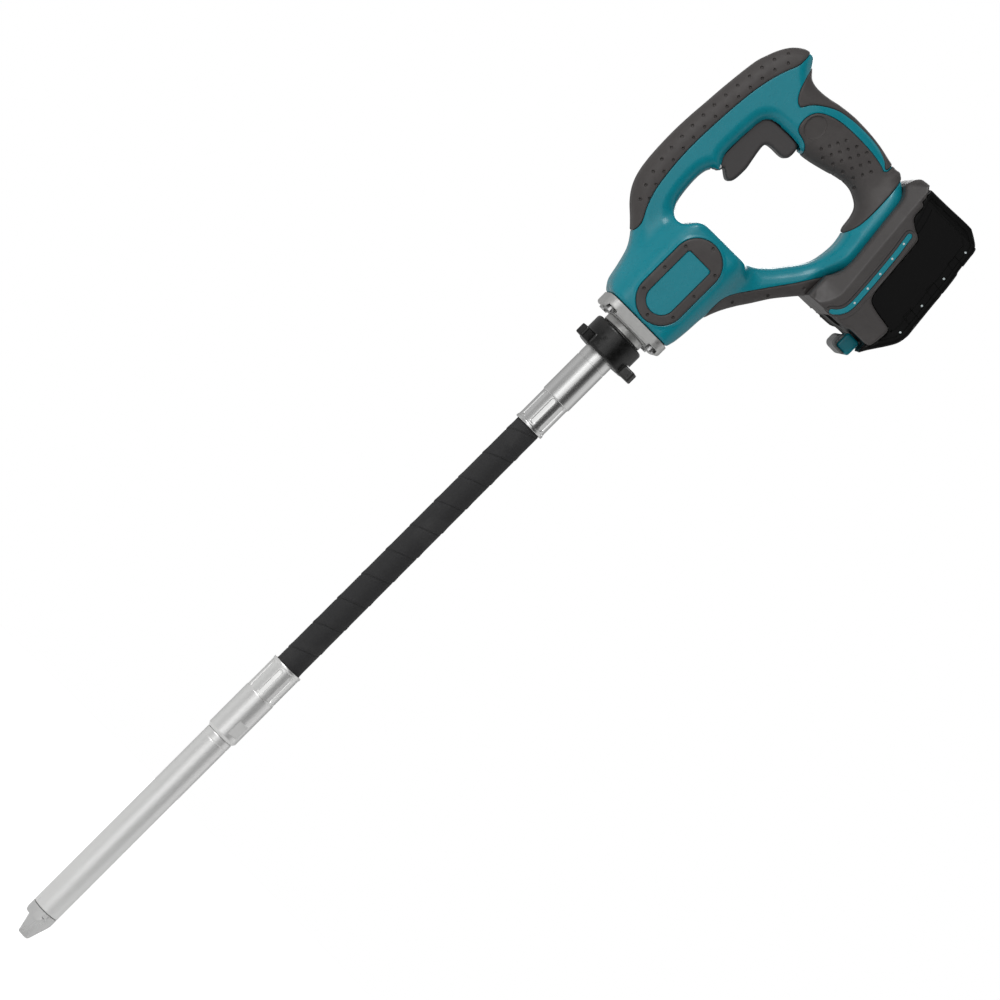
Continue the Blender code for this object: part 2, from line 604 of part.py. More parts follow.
def make_foot(mats):
    """Battery foot halves with cheeks, rails and the inlaid stripe."""
    layers = [(3, 0), (-FOOT_HALF + 3, 0), (-FOOT_HALF + 0.8, 1), (-FOOT_HALF, 2.4)]
    foot = slab("foot", FOOT, layers)
    room = rail_block("room", (-30, 160), (-GAP, 90), -BATTERY_HALF - GAP, 20)
    combine(foot, room, "DIFFERENCE")
    combine(foot, slab("way", [(60, 880), (100, 884), (100, 868), (60, 864)], [(20, 0), (-7, 0)]), "DIFFERENCE")
    combine(foot, rail_block("rail", (8, 118), (9, 12), -BATTERY_HALF - 1, -BATTERY_HALF + 3), "UNION")
    combine(foot, slab("channel", STRIPE, [(-FOOT_HALF + 1, -GAP), (-60, -GAP)]), "DIFFERENCE")
    combine(foot, middle_cut(), "DIFFERENCE")
    finish(foot, "foot_near", mats["foot_plastic"])
    mirrored(foot, "foot_far")
    stripe = slab("stripe_near", STRIPE, [(-FOOT_HALF + 0.7, 0), (-FOOT_HALF - 0.2, 0.2)], mats["teal_plastic"])
    mirrored(stripe, "stripe_far")
    block = rail_block("terminal_block", (40, 62), (-6.5, 7.5), -9.0, 9.0)
    combine(block, rail_block("notch", (30, 70), (-10, -GAP), -20, -6.4), "DIFFERENCE")
    combine(block, rail_block("notch", (30, 70), (-10, -GAP), 6.4, 20), "DIFFERENCE")
    combine(block, rail_block("notch", (30, 55.5), (-10, -GAP), -20, 20), "DIFFERENCE")
    finish(block, "terminal_block", mats["dark_plastic"])


BATTERY_OUTLINE = [
    rail(0, 0.3), (135.5, 938.3), (144.5, 933), (151.5, 926), (153, 910), (158.5, 862), (161, 842),
    (160.5, 833), (157, 826), (152, 818), (147, 811), (144, 806.5), (127, 806), rail(130, 0.3)]
CASE_SPLIT = 16.0            # parting of the battery case, out from the rail face


def make_battery(mats):
    half = BATTERY_HALF
    layers = [(-half, 3.5), (-half + 1.2, 1.2), (-half + 4, 0), (half - 4, 0), (half - 1.2, 1.2), (half, 3.5)]
    whole = slab("whole", BATTERY_OUTLINE, layers)
    for side in (-1, 1):
        low_y, high_y = sorted((side * (half - 3.4), side * (half + 5)))
        combine(whole, rail_block("groove", (-20, 160), (8.6, 12.4), low_y, high_y), "DIFFERENCE")
    combine(whole, rail_block("terminal_room", (-30, 66), (-5, 9), -11, 11), "DIFFERENCE")
    upper = copy_of(whole, "upper")
    combine(upper, rail_block("half", (-60, 200), (CASE_SPLIT, 200), -80, 80), "DIFFERENCE")
    combine(upper, rail_block("room", (14.5, 111.5), (12, 40), -31, 31), "DIFFERENCE")
    finish(upper, "battery_upper_case", mats["battery_plastic"])
    combine(whole, rail_block("half", (-60, 200), (-60, CASE_SPLIT + GAP), -80, 80), "DIFFERENCE")
    combine(whole, rail_block("room", (14.5, 111.5), (5, 57), -33.2, 33.2), "DIFFERENCE")
    finish(whole, "battery_lower_case", mats["battery_plastic"])
    make_cells(mats)
    button = slab("battery_button", [(127.8, 805.4), (128.1, 801), (130.5, 797.6), (136, 796.8), (140, 799),
                                     (141.2, 805.4)], [(-11, 1.2), (-9.8, 0), (9.8, 0), (11, 1.2)])
    finish(button, "battery_button", mats["teal_plastic"])
    guard = slab("guard", [(121.5, 805.6), (121.3, 799), (123.5, 794.5), (127.5, 792.6), (132, 793), (136, 795.2),
                           (135.6, 796.0), (130.4, 796.4), (127.0, 800), (126.9, 805.6)],
                 [(-15, 1), (-14, 0), (14, 0), (15, 1)])
    finish(guard, "button_guard", mats["foot_plastic"])


def make_cells(mats):
    """Ten round cells lying across the pack, as one scalloped block."""
    radius = 9.2
    pitch = 19.0
    outline = []
    for row, direction in ((0, 1), (1, -1)):
        order = range(5) if direction == 1 else range(4, -1, -1)
        for k in order:
            for i in range(6):
                angle = math.radians(150 - 24 * i)
                down = 25 + k * pitch + direction * radius * math.cos(angle)
                out = 27.5 + row * pitch - direction * radius * math.sin(angle)
                outline.append(rail(down, out))
    return slab("cell_pack", outline, [(-32.5, 0), (32.5, 0)], mats["cells"])


def main():
    clear_scene()
    mats = make_materials()
    make_rod(mats)
    make_head_insides(mats)
    make_drive(mats)
    make_coupling(mats)
    make_housing(mats)
    make_badges(mats)
    make_trigger(mats)
    make_foot(mats)
    make_battery(mats)


main()
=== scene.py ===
"""Looks of the cordless concrete vibrator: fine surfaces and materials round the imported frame.

Lengths in this file are millimetres until a mesh is made, which is in metres.
"""
import json
import math

import bmesh
import bpy
import numpy as np
from mathutils import Matrix, Vector


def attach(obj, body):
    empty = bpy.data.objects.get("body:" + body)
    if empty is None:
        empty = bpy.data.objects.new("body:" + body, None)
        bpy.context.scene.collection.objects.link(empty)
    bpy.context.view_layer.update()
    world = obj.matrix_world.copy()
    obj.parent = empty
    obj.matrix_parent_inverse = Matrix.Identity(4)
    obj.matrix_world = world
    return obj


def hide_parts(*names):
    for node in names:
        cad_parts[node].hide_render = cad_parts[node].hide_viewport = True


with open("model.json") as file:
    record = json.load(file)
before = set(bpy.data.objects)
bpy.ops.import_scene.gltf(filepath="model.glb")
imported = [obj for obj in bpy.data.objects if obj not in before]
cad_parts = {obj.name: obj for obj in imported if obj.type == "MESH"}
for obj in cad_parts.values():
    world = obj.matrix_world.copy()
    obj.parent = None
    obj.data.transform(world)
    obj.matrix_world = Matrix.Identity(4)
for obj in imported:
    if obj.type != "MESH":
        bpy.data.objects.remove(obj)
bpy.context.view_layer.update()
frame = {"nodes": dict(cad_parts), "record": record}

MM = 0.001
FAR = 1e6                    # stands for "nowhere near" in a field
FRAME_WIDTH = 0.8036         # metres that the camera sees across at the tool
SIDES = ((-1, "near"), (1, "far"))


# ---------------- camera, light and floor

def look_at(thing, place, target, roll=0.0):
    """Point an object's -Z at a target, then roll it about that line."""
    turn = (Vector(target) - Vector(place)).to_track_quat("-Z", "Y")
    thing.rotation_mode = "QUATERNION"
    thing.location = place
    thing.rotation_quaternion = turn @ Matrix.Rotation(roll, 4, "Z").to_quaternion()


def make_camera():
    target = Vector((0.0255, 0.0, 0.517))
    place = Vector((-0.2994, -3.0, 0.50))
    data = bpy.data.cameras.new("camera")
    data.lens = 36.0 * (place - target).length / FRAME_WIDTH
    camera = bpy.data.objects.new("camera", data)
    bpy.context.scene.collection.objects.link(camera)
    look_at(camera, place, target, math.radians(45))
    bpy.context.scene.camera = camera


def area_light(name, place, target, size, power):
    data = bpy.data.lights.new(name, "AREA")
    data.shape = "RECTANGLE"
    data.size, data.size_y = size
    data.energy = power
    light = bpy.data.objects.new(name, data)
    bpy.context.scene.collection.objects.link(light)
    look_at(light, place, target)


# Brightness of the room all round the tool, by turn: 0 is the front grip's side, 0.25 the viewer's,
# 0.5 the battery's and 0.75 the far side.
ROOM_BANDS = ((0.0, 0.60), (1.0, 0.60), (0.06, 0.40), (0.12, 0.32), (0.165, 0.74), (0.20, 0.66),
              (0.235, 0.30), (0.285, 0.14), (0.345, 0.04), (0.40, 0.14), (0.45, 0.70), (0.53, 0.80),
              (0.62, 0.35), (0.80, 0.40))
FLOOR_RADIUS = 1.5           # metres
FLOOR_GAP = 0.004            # the floor lies this far under the nose
FLOOR_GLOW = 0.62            # keeps the floor pale to the camera


def wire(tree, node, inputs, **settings):
    """Fill a node's inputs, each with a value or another node's output; a kind of node adds a new one."""
    if isinstance(node, str):
        node = tree.nodes.new(node)
    for name, value in settings.items():
        setattr(node, name, value)
    for name, value in inputs.items():
        if isinstance(value, bpy.types.NodeSocket):
            tree.links.new(value, node.inputs[name])
        else:
            node.inputs[name].default_value = value
    return node


def mixed(tree, factor, a, b):
    """One colour turning into another."""
    mix = wire(tree, "ShaderNodeMix", {}, data_type="RGBA")
    return wire(tree, mix, {"Factor": factor, "A": a, "B": b}).outputs["Result"]


def make_stage():
    area_light("key", (-1.6, -1.9, 1.9), (0, 0, 0.6), (1.4, 1.0), 30)
    area_light("fill", (-0.6, -3.4, 0.9), (0, 0, 0.5), (2.4, 2.0), 12)
    area_light("rim", (0.4, 2.2, 1.9), (0, 0, 0.6), (1.8, 1.2), 26)
    world = bpy.data.worlds.new("world")
    world.use_nodes = True
    tree = world.node_tree
    place = wire(tree, "ShaderNodeTexCoord", {})
    turn = wire(tree, "ShaderNodeTexGradient", {"Vector": place.outputs["Generated"]}, gradient_type="RADIAL")
    bands = wire(tree, "ShaderNodeValToRGB", {"Fac": turn.outputs["Fac"]})
    stops = bands.color_ramp.elements
    bands.color_ramp.interpolation = "EASE"
    for i, (at, light) in enumerate(ROOM_BANDS):
        stop = stops[i] if i < 2 else stops.new(at)
        stop.position = at
        stop.color = (light, light, light, 1)
    seen = wire(tree, "ShaderNodeLightPath", {}).outputs["Is Camera Ray"]
    room = mixed(tree, seen, bands.outputs["Color"], (1, 1, 1, 1))
    wire(tree, tree.nodes["Background"], {"Color": room, "Strength": 1.0})
    bpy.context.scene.world = world
    bpy.context.scene.view_settings.view_transform = "Standard"
    mesh = bpy.data.meshes.new("floor")
    bm = bmesh.new()
    bmesh.ops.create_circle(bm, cap_ends=True, segments=96, radius=FLOOR_RADIUS)
    bmesh.ops.translate(bm, verts=bm.verts, vec=(0, 0, -FLOOR_GAP))
    bm.to_mesh(mesh)
    bm.free()
    floor = bpy.data.objects.new("floor", mesh)
    bpy.context.scene.collection.objects.link(floor)
    mat = bpy.data.materials.new("pale_floor")
    mat.use_nodes = True
    tree = mat.node_tree
    seen = wire(tree, "ShaderNodeLightPath", {}).outputs["Is Camera Ray"]
    glow = wire(tree, "ShaderNodeMapRange", {"To Max": FLOOR_GLOW, "Value": seen})
    wire(tree, tree.nodes["Principled BSDF"], {
        "Base Color": (0.8, 0.8, 0.8, 1), "Roughness": 0.9, "Emission Color": (1, 1, 1, 1),
        "Emission Strength": glow.outputs["Result"]})
    mesh.materials.append(mat)


# ---------------- materials

def surface(name, colour, roughness, metallic=0.0, mottle=0.06, mottle_size=9.0, rough_spread=0.06,
            grain=0.02, grain_size=0.5, stretch=(1, 1, 1), coat=0.0, dirt=0.0, specular=0.5):
    """A surface with colour drift, uneven gloss and a fine bump; sizes in millimetres."""
    mat = bpy.data.materials.new(name)
    mat.use_nodes = True
    tree = mat.node_tree
    place = wire(tree, "ShaderNodeTexCoord", {})
    scale = wire(tree, "ShaderNodeMapping", {"Scale": stretch, "Vector": place.outputs["Object"]})

    def noise(size, detail):
        return wire(tree, "ShaderNodeTexNoise", {"Scale": 1000.0 / size, "Detail": detail,
                                                 "Vector": scale.outputs["Vector"]}).outputs["Fac"]

    shade = mixed(tree, noise(mottle_size, 4), [c * (1 - mottle) for c in colour] + [1],
                  [min(1, c * (1 + mottle)) for c in colour] + [1])
    if dirt:
        patches = wire(tree, "ShaderNodeMapRange", {"From Min": 0.52, "From Max": 0.72, "To Max": dirt,
                                                    "Value": noise(38.0, 6)})
        shade = mixed(tree, patches.outputs["Result"], shade, DUST)
    gloss = wire(tree, "ShaderNodeMapRange", {
        "From Min": 0.3, "From Max": 0.7, "To Min": roughness - rough_spread,
        "To Max": roughness + rough_spread, "Value": noise(mottle_size * 0.6, 5)})
    bump = wire(tree, "ShaderNodeBump", {"Strength": 1.0, "Distance": grain * MM,
                                         "Height": noise(grain_size, 2)})
    wire(tree, tree.nodes["Principled BSDF"], {
        "Metallic": metallic, "Coat Weight": coat, "Coat Roughness": 0.12, "Specular IOR Level": specular,
        "Base Color": shade, "Roughness": gloss.outputs["Result"], "Normal": bump.outputs["Normal"]})
    return mat


DUST = (0.42, 0.41, 0.39, 1)
METAL_DRAW = (1, 1, 0.08)    # stretches a metal's marks along the tool
SURFACES = {
    "teal_plastic": dict(colour=(0.001, 0.225, 0.285), roughness=0.3, mottle=0.05, grain=0.006,
                         grain_size=1.6, coat=0.12, specular=0.38),
    "grey_rubber": dict(colour=(0.053, 0.047, 0.0455), roughness=0.62, mottle=0.08, grain=0.03,
                        grain_size=0.35, dirt=0.05),
    "trigger_plastic": dict(colour=(0.047, 0.043, 0.043), roughness=0.45, grain=0.015),
    "foot_plastic": dict(colour=(0.052, 0.047, 0.046), roughness=0.46, grain=0.03, grain_size=0.45,
                         dirt=0.04),
    "battery_plastic": dict(colour=(0.0028, 0.0028, 0.0028), roughness=0.42, grain_size=0.4, specular=0.14),
    "cast_metal": dict(colour=(0.52, 0.52, 0.51), roughness=0.42, metallic=0.85, mottle=0.07,
                       mottle_size=6.0, rough_spread=0.1, grain=0.06, grain_size=0.9),
    "bright_metal": dict(colour=(0.70, 0.70, 0.695), roughness=0.25, metallic=1.0, mottle=0.05,
                         mottle_size=14.0, rough_spread=0.07, grain=0.012, stretch=METAL_DRAW),
    "satin_metal": dict(colour=(0.86, 0.86, 0.85), roughness=0.33, metallic=0.75, mottle=0.05,
                        mottle_size=14.0, rough_spread=0.07, grain=0.012, stretch=METAL_DRAW),
    "nut_metal": dict(colour=(0.006, 0.006, 0.006), roughness=0.3, metallic=0.2, mottle=0.2,
                      mottle_size=5.0, rough_spread=0.1, grain=0.06, grain_size=0.8, dirt=0.06),
    "hose_rubber": dict(colour=(0.02, 0.02, 0.021), roughness=0.8, mottle=0.3, mottle_size=1.2,
                        grain=0.16, grain_size=0.8, dirt=0.04),
    "steel": dict(colour=(0.5, 0.5, 0.5), roughness=0.33, metallic=1.0, grain=0.01, stretch=(1, 1, 0.2)),
    "copper": dict(colour=(0.72, 0.36, 0.2), roughness=0.35, metallic=1.0),
    "carbon": dict(colour=(0.04, 0.04, 0.04), roughness=0.7),
    "dark_plastic": dict(colour=(0.025, 0.025, 0.025), roughness=0.5),
    "cells": dict(colour=(0.04, 0.16, 0.1), roughness=0.4, dirt=0.1),
    "pale_mark": dict(colour=(0.55, 0.62, 0.62), roughness=0.45),
    "hook_plastic": dict(colour=(0.11, 0.115, 0.115), roughness=0.35),
}


# ---------------- outlines and fields

def smooth_path(points, per=6, closed=False):
    """Points along a smooth curve through the given ones."""
    points = [Vector(p) for p in points]
    count = len(points)
    found = []
    for i in range(count if closed else count - 1):
        if closed:
            a, b, c, d = (points[(i + k) % count] for k in (-1, 0, 1, 2))
        else:
            a, b = points[max(i - 1, 0)], points[i]
            c, d = points[i + 1], points[min(i + 2, count - 1)]
        for k in range(per):
            t = k / per
            found.append(0.5 * (2 * b + (c - a) * t + (2 * a - 5 * b + 4 * c - d) * t * t
                                + (3 * b - a - 3 * c + d) * t ** 3))
    if not closed:
        found.append(points[-1])
    return [tuple(p) for p in found]


def distance_to(outline, x, z):
    """Signed distance to a closed outline, below zero inside."""
    a = np.array(outline, float)
    b = np.roll(a, -1, axis=0)
    best = np.full(x.shape, FAR)
    inside = np.zeros(x.shape, bool)
    for (ax, az), (bx, bz) in zip(a, b):
        ex, ez = bx - ax, bz - az
        length = ex * ex + ez * ez
        if length < 1e-9:
            continue
        t = np.clip(((x - ax) * ex + (z - az) * ez) / length, 0, 1)
        best = np.minimum(best, (x - ax - t * ex) ** 2 + (z - az - t * ez) ** 2)
        if abs(ez) > 1e-9:
            inside ^= ((az > z) != (bz > z)) & (x < ax + (z - az) * ex / ez)
    return np.where(inside, -1.0, 1.0) * np.sqrt(best)


class Sheet:
    """An outline's signed distance, kept on a fine grid so that it is quick to read."""

    STEP = 0.5

    def __init__(self, outline, low, high):
        self.low = low
        self.count = [int((h - l) / self.STEP) + 2 for l, h in zip(low, high)]
        x = low[0] + self.STEP * np.arange(self.count[0])
        z = low[1] + self.STEP * np.arange(self.count[1])
        grid = np.meshgrid(x, z, indexing="ij")
        self.values = distance_to(outline, *grid)

    def __call__(self, x, z):
        u = np.clip((x - self.low[0]) / self.STEP, 0, self.count[0] - 1.001)
        v = np.clip((z - self.low[1]) / self.STEP, 0, self.count[1] - 1.001)
        i, j = u.astype(int), v.astype(int)
        u, v = u - i, v - j
        g = self.values
        return ((g[i, j] * (1 - u) + g[i + 1, j] * u) * (1 - v)
                + (g[i, j + 1] * (1 - u) + g[i + 1, j + 1] * u) * v)


def eased_corner(a, b, radius):
    """What two fields share, with a rounded edge where they meet."""
    return (np.minimum(np.maximum(a, b) + radius, 0)
            + np.hypot(np.maximum(a + radius, 0), np.maximum(b + radius, 0)) - radius)


def plate(distance, y, half, radius):
    """A plate across Y from its outline's distance, with rounded rims."""
    return eased_corner(distance, np.abs(y) - half, radius)


def rounded_rectangle(x, y, half_x, half_y, radius):
    return eased_corner(np.abs(x) - half_x, np.abs(y) - half_y, radius)


def joined(a, b, blend):
    """Union of two fields with a soft fillet."""
    mix = np.clip(0.5 + 0.5 * (b - a) / blend, 0, 1)
    return b + (a - b) * mix - blend * mix * (1 - mix)


def ease(value):
    """A smooth step from 0 to 1."""
    value = np.clip(value, 0, 1)
    return value * value * (3 - 2 * value)


# ---------------- meshes from fields

CORNERS = np.array([(i, j, k) for i in (0, 1) for j in (0, 1) for k in (0, 1)])
CELL_EDGES = [(a, b) for a in range(8) for b in range(a + 1, 8)
              if np.abs(CORNERS[a] - CORNERS[b]).sum() == 1]


SETTLE_ROUNDS = 3


def skin(field, low, high, step):
    """The zero surface of a field as points and triangles."""
    axes = [np.arange(l, h + step, step) for l, h in zip(low, high)]
    grid = np.meshgrid(*axes, indexing="ij")
    value = field(*grid)
    size = np.array(value.shape) - 1
    sign = value < 0
    total = np.zeros(tuple(size), int)
    for i, j, k in CORNERS:
        total += sign[i:i + size[0], j:j + size[1], k:k + size[2]]
    cells = np.argwhere((total > 0) & (total < 8))
    corner_values = np.stack([value[tuple((cells + c).T)] for c in CORNERS], axis=1)
    place = np.zeros((len(cells), 3))
    hits = np.zeros(len(cells))
    for a, b in CELL_EDGES:
        va, vb = corner_values[:, a], corner_values[:, b]
        crossing = (va < 0) != (vb < 0)
        t = np.where(crossing, va / np.where(crossing, va - vb, 1), 0)
        point = CORNERS[a] + t[:, None] * (CORNERS[b] - CORNERS[a])
        place += np.where(crossing[:, None], point, 0)
        hits += crossing
    points = (cells + place / hits[:, None]) * step + np.array(low)
    index = -np.ones(tuple(size), int)
    index[tuple(cells.T)] = np.arange(len(cells))
    quads = []
    for axis in range(3):
        u, v = (axis + 1) % 3, (axis + 2) % 3
        first = [slice(None)] * 3
        second = [slice(None)] * 3
        first[axis], second[axis] = slice(0, -1), slice(1, None)
        edge = sign[tuple(first)] != sign[tuple(second)]
        at = np.argwhere(edge)
        at = at[(at[:, u] > 0) & (at[:, v] > 0) & (at[:, u] < size[u]) & (at[:, v] < size[v])]
        starts_inside = sign[tuple(at.T)]
        around = []
        for du, dv in ((1, 1), (0, 1), (0, 0), (1, 0)):
            cell = at.copy()
            cell[:, u] -= du
            cell[:, v] -= dv
            around.append(index[tuple(cell.T)])
        quad = np.stack(around, axis=1)
        quad[~starts_inside] = quad[~starts_inside][:, ::-1]
        quads.append(quad)
    quads = np.concatenate(quads)
    for _ in range(SETTLE_ROUNDS):
        points = settled(field, points, step)
    triangles = np.concatenate([quads[:, [0, 1, 2]], quads[:, [0, 2, 3]]])
    return points, triangles


def slope(field, points):
    """How steeply a field rises along X, Y and Z at each point."""
    reach = 0.05
    grads = []
    for axis in range(3):
        shift = np.zeros(3)
        shift[axis] = reach
        grads.append((field(*(points + shift).T) - field(*(points - shift).T)) / (2 * reach))
    return np.stack(grads, axis=1)


def outward(field, points):
    """A field's unit normals."""
    normals = slope(field, points)
    return normals / np.maximum(np.linalg.norm(normals, axis=1, keepdims=True), 1e-9)


def settled(field, points, limit):
    """Move points onto the field's zero surface."""
    grad = slope(field, points)
    step = field(*points.T)[:, None] * grad / np.maximum((grad ** 2).sum(1), 0.05)[:, None]
    length = np.linalg.norm(step, axis=1, keepdims=True)
    return points - step * np.minimum(1, 0.5 * limit / np.maximum(length, 1e-9))


SNAP = 0.2                   # a point this near to a line, as part of its edge, moves onto it


def edges_of(triangles):
    return np.concatenate([triangles[:, [0, 1]], triangles[:, [1, 2]], triangles[:, [2, 0]]])


def crossed(value, edges):
    """Which edges a value changes its sign on, and how far along each."""
    va, vb = value[edges[:, 0]], value[edges[:, 1]]
    cross = np.where((va * vb < 0) & (np.abs(va - vb) < FAR / 2))[0]
    return cross, va[cross] / (va[cross] - vb[cross])


def sliced(points, triangles, values_of, levels):
    """Cut triangles along level lines of a function of position, so that edges run on them."""
    locked = np.zeros(len(points), bool)
    for level in levels:
        value = values_of(points) - level
        edges = np.unique(np.sort(edges_of(triangles), axis=1), axis=0)
        cross, t = crossed(value, edges)
        points = points.copy()
        for end, near in ((0, t < SNAP), (1, t > 1 - SNAP)):
            free = near & ~locked[edges[cross, end]]
            first, last = points[edges[cross[free], 0]], points[edges[cross[free], 1]]
            moved = edges[cross[free], end]
            points[moved] = first + t[free][:, None] * (last - first)
            value[moved] = 0
        locked |= value == 0
        cross, t = crossed(value, edges)
        t = t[:, None]
        fresh = points[edges[cross, 0]] * (1 - t) + points[edges[cross, 1]] * t
        key = edges[:, 0].astype(np.int64) * len(points) + edges[:, 1]
        lookup = -np.ones(len(edges), int)
        lookup[cross] = len(points) + np.arange(len(cross))

        def between(a, b):
            low, high = np.minimum(a, b), np.maximum(a, b)
            return lookup[np.searchsorted(key, low.astype(np.int64) * len(points) + high)]

        a, b, c = triangles.T
        mid = np.stack([between(a, b), between(b, c), between(c, a)], axis=1)
        hits = (mid >= 0).sum(1)
        pieces = [triangles[hits == 0]]
        for k in range(3):
            one = (hits == 1) & (mid[:, k] >= 0)
            p, q, r = (triangles[one][:, (k + n) % 3] for n in range(3))
            m = mid[one][:, k]
            pieces += [np.stack([p, m, r], 1), np.stack([m, q, r], 1)]
            two = (hits == 2) & (mid[:, k] < 0)
            p, q, r = (triangles[two][:, (k + n) % 3] for n in range(3))
            m, n_ = mid[two][:, (k + 1) % 3], mid[two][:, (k + 2) % 3]
            pieces += [np.stack([p, q, m], 1), np.stack([p, m, n_], 1), np.stack([m, r, n_], 1)]
        points = np.concatenate([points, fresh])
        locked = np.concatenate([locked, np.ones(len(fresh), bool)])
        triangles = np.concatenate(pieces)
    return points, triangles


def near_half(points, triangles, levels):
    """Cut along lines beside the middle plane, and keep the half on the near side."""
    points, triangles = sliced(points, triangles, lambda p: p[:, 1], levels)
    return points, triangles[(points[triangles][:, :, 1] <= 1e-9).all(1)]


MERGE = 0.000004             # metres
CREASE_ANGLE = 34            # degrees


def to_piece(name, points, triangles, mat, body, slot, nodes=(), angle=CREASE_ANGLE):
    """Make a mesh in metres, shade it and hand it to the frame."""
    used, back = np.unique(triangles, return_inverse=True)
    mesh = bpy.data.meshes.new(name)
    mesh.from_pydata((points[used] * MM).tolist(), [], back.reshape(-1, 3).tolist())
    bm = bmesh.new()
    bm.from_mesh(mesh)
    bmesh.ops.remove_doubles(bm, verts=bm.verts, dist=MERGE)
    bmesh.ops.dissolve_degenerate(bm, edges=bm.edges, dist=MERGE)
    loose = [v for v in bm.verts if not v.link_faces]
    bmesh.ops.delete(bm, geom=loose, context="VERTS")
    bm.to_mesh(mesh)
    bm.free()
    present(name, mesh, mat, body, nodes, angle)


def present(name, mesh, mat, body, nodes=(), angle=CREASE_ANGLE):
    """Shade a mesh, give it its material and body, and hide the nodes it stands in for."""
    mesh.shade_smooth()
    mesh.set_sharp_from_angle(angle=math.radians(angle))
    mesh.materials.clear()
    mesh.materials.append(mat)
    piece = bpy.data.objects.new(name, mesh)
    bpy.context.scene.collection.objects.link(piece)
    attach(piece, body)
    if nodes:
        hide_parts(*nodes)


def moulded(name, field, low, high, step, mat, body, slot, node):
    """A piece whose whole surface is a field's zero surface."""
    to_piece(name, *skin(field, low, high, step), mat, body, slot, (node,))


def rim_edges(triangles):
    """Directed edges that only one triangle has."""
    edges = edges_of(triangles)
    size = edges.max() + 1
    key = edges[:, 0].astype(np.int64) * size + edges[:, 1]
    twin = edges[:, 1].astype(np.int64) * size + edges[:, 0]
    return edges[~np.isin(key, twin)]


def thick(points, normals, triangles, top, depth):
    """A closed skin: its outer face stands off the surface by top, its inner face lies below by depth."""
    used, back = np.unique(triangles, return_inverse=True)
    outer = points[used] + normals[used] * top[used][:, None]
    inner = points[used] - normals[used] * depth
    face = back.reshape(-1, 3)
    count = len(used)
    a, b = rim_edges(face).T
    walls = np.concatenate([np.stack([b, a, a + count], 1), np.stack([b, a + count, b + count], 1)])
    return np.concatenate([outer, inner]), np.concatenate([face, face[:, ::-1] + count, walls])


def mirrored(points, triangles):
    return points * np.array([1, -1, 1]), triangles[:, ::-1]


def capped(points, triangles):
    """Close a half shell that is open at the middle plane."""
    bm = bmesh.new()
    used, back = np.unique(triangles, return_inverse=True)
    verts = [bm.verts.new(p) for p in points[used]]
    for a, b, c in back.reshape(-1, 3):
        bm.faces.new((verts[a], verts[b], verts[c]))
    rim = [e for e in bm.edges if e.is_boundary and all(abs(v.co.y) < 0.02 for v in e.verts)]
    bmesh.ops.triangle_fill(bm, edges=rim, use_beauty=False, normal=(0, 1, 0))
    bmesh.ops.recalc_face_normals(bm, faces=bm.faces)
    bmesh.ops.triangulate(bm, faces=bm.faces)
    bm.verts.index_update()
    found = [v.co[:] for v in bm.verts]
    faces = [[v.index for v in f.verts] for f in bm.faces]
    bm.free()
    return np.array(found), np.array(faces)


# ---------------- housing

HANDLE_HALF = 17.0           # half thickness of the handle
BARREL_HALF = 32.7           # half width of the square motor barrel
BARREL_TOP = 789.0
FLANGE_TOP = 696.8
WINDOW = ((-95.0, 688.0), (100.0, 955.0))       # the stretch of X and Z that the sheets cover
SILHOUETTE = smooth_path([
    (-31, 688), (-33, 697), (-38.5, 704.5), (-42, 718), (-46.5, 732), (-53.5, 742.5), (-61, 750.5),
    (-71, 760), (-78, 769.5), (-82.5, 781), (-85, 797), (-86, 820), (-85.5, 840), (-84, 860),
    (-82.5, 880), (-79.3, 908), (-76, 920), (-71.5, 931), (-66, 939), (-59, 944.6), (-53, 946.4),
    (-48, 945.6), (-44.4, 941.5), (-41, 936.5), (-36.5, 932.2), (-31, 930.5), (-24, 930.4),
    (-16, 931.5), (-5, 934), (10, 935.9), (28, 935.6), (42, 934), (54, 931.4), (62, 930), (66, 930.5),
    (71, 927), (77, 922), (84, 914), (88, 898), (90.6, 876), (92.6, 858), (92.6, 846), (88, 836),
    (84, 826), (83, 808), (79.6, 803), (75, 797.5), (65, 785), (56, 771), (49, 760.5), (41.5, 748),
    (36.2, 735), (34.6, 718), (33, 706), (31, 699), (29, 688)], closed=True)
OPENING = smooth_path([
    (-42.4, 842), (-40.6, 836), (-36.3, 829.5), (-36.6, 826.2), (-42.6, 822.8), (-45.2, 816),
    (-45.5, 804), (-43.5, 788), (-40, 779.5), (-36, 776), (-31, 775.4), (-27, 778.5), (-22, 784.5),
    (-15, 788), (0, 788.6), (19, 789), (29, 790.8), (38, 795.4), (47, 803.5), (55, 813.5), (62, 823),
    (66.5, 832), (68.8, 843), (69.5, 853), (68, 862), (65.5, 868), (64, 878), (60.5, 886),
    (52, 891.3), (44, 893), (34, 891.8), (22, 888.2), (9, 884.9), (-1, 883.4), (-5.5, 883.2),
    (-9.5, 884.8), (-20, 885.4), (-33, 884.4), (-38.8, 881.6), (-41.2, 874), (-42.2, 858)], closed=True)
TRIGGER_ROOM = [(-30, 826), (-33, 823.5), (-45.5, 823.5), (-48, 832), (-51, 845), (-51.5, 886),
                (-45, 892.5), (-8, 893.3), (-3.8, 889), (-4.4, 875), (-20, 862), (-20, 840)]
FRONT_PAD = smooth_path([
    (-53.2, 950), (-53, 945), (-52.6, 938), (-53.2, 930), (-57.5, 919), (-61.5, 905), (-64.3, 890),
    (-66.4, 870), (-67.7, 848), (-68.3, 828), (-67.8, 810), (-66.4, 795), (-64, 780), (-59.5, 766),
    (-55.6, 758.5), (-53.2, 753), (-52.8, 747), (-55, 742), (-60, 736)]) + [(-110, 730), (-110, 960)]
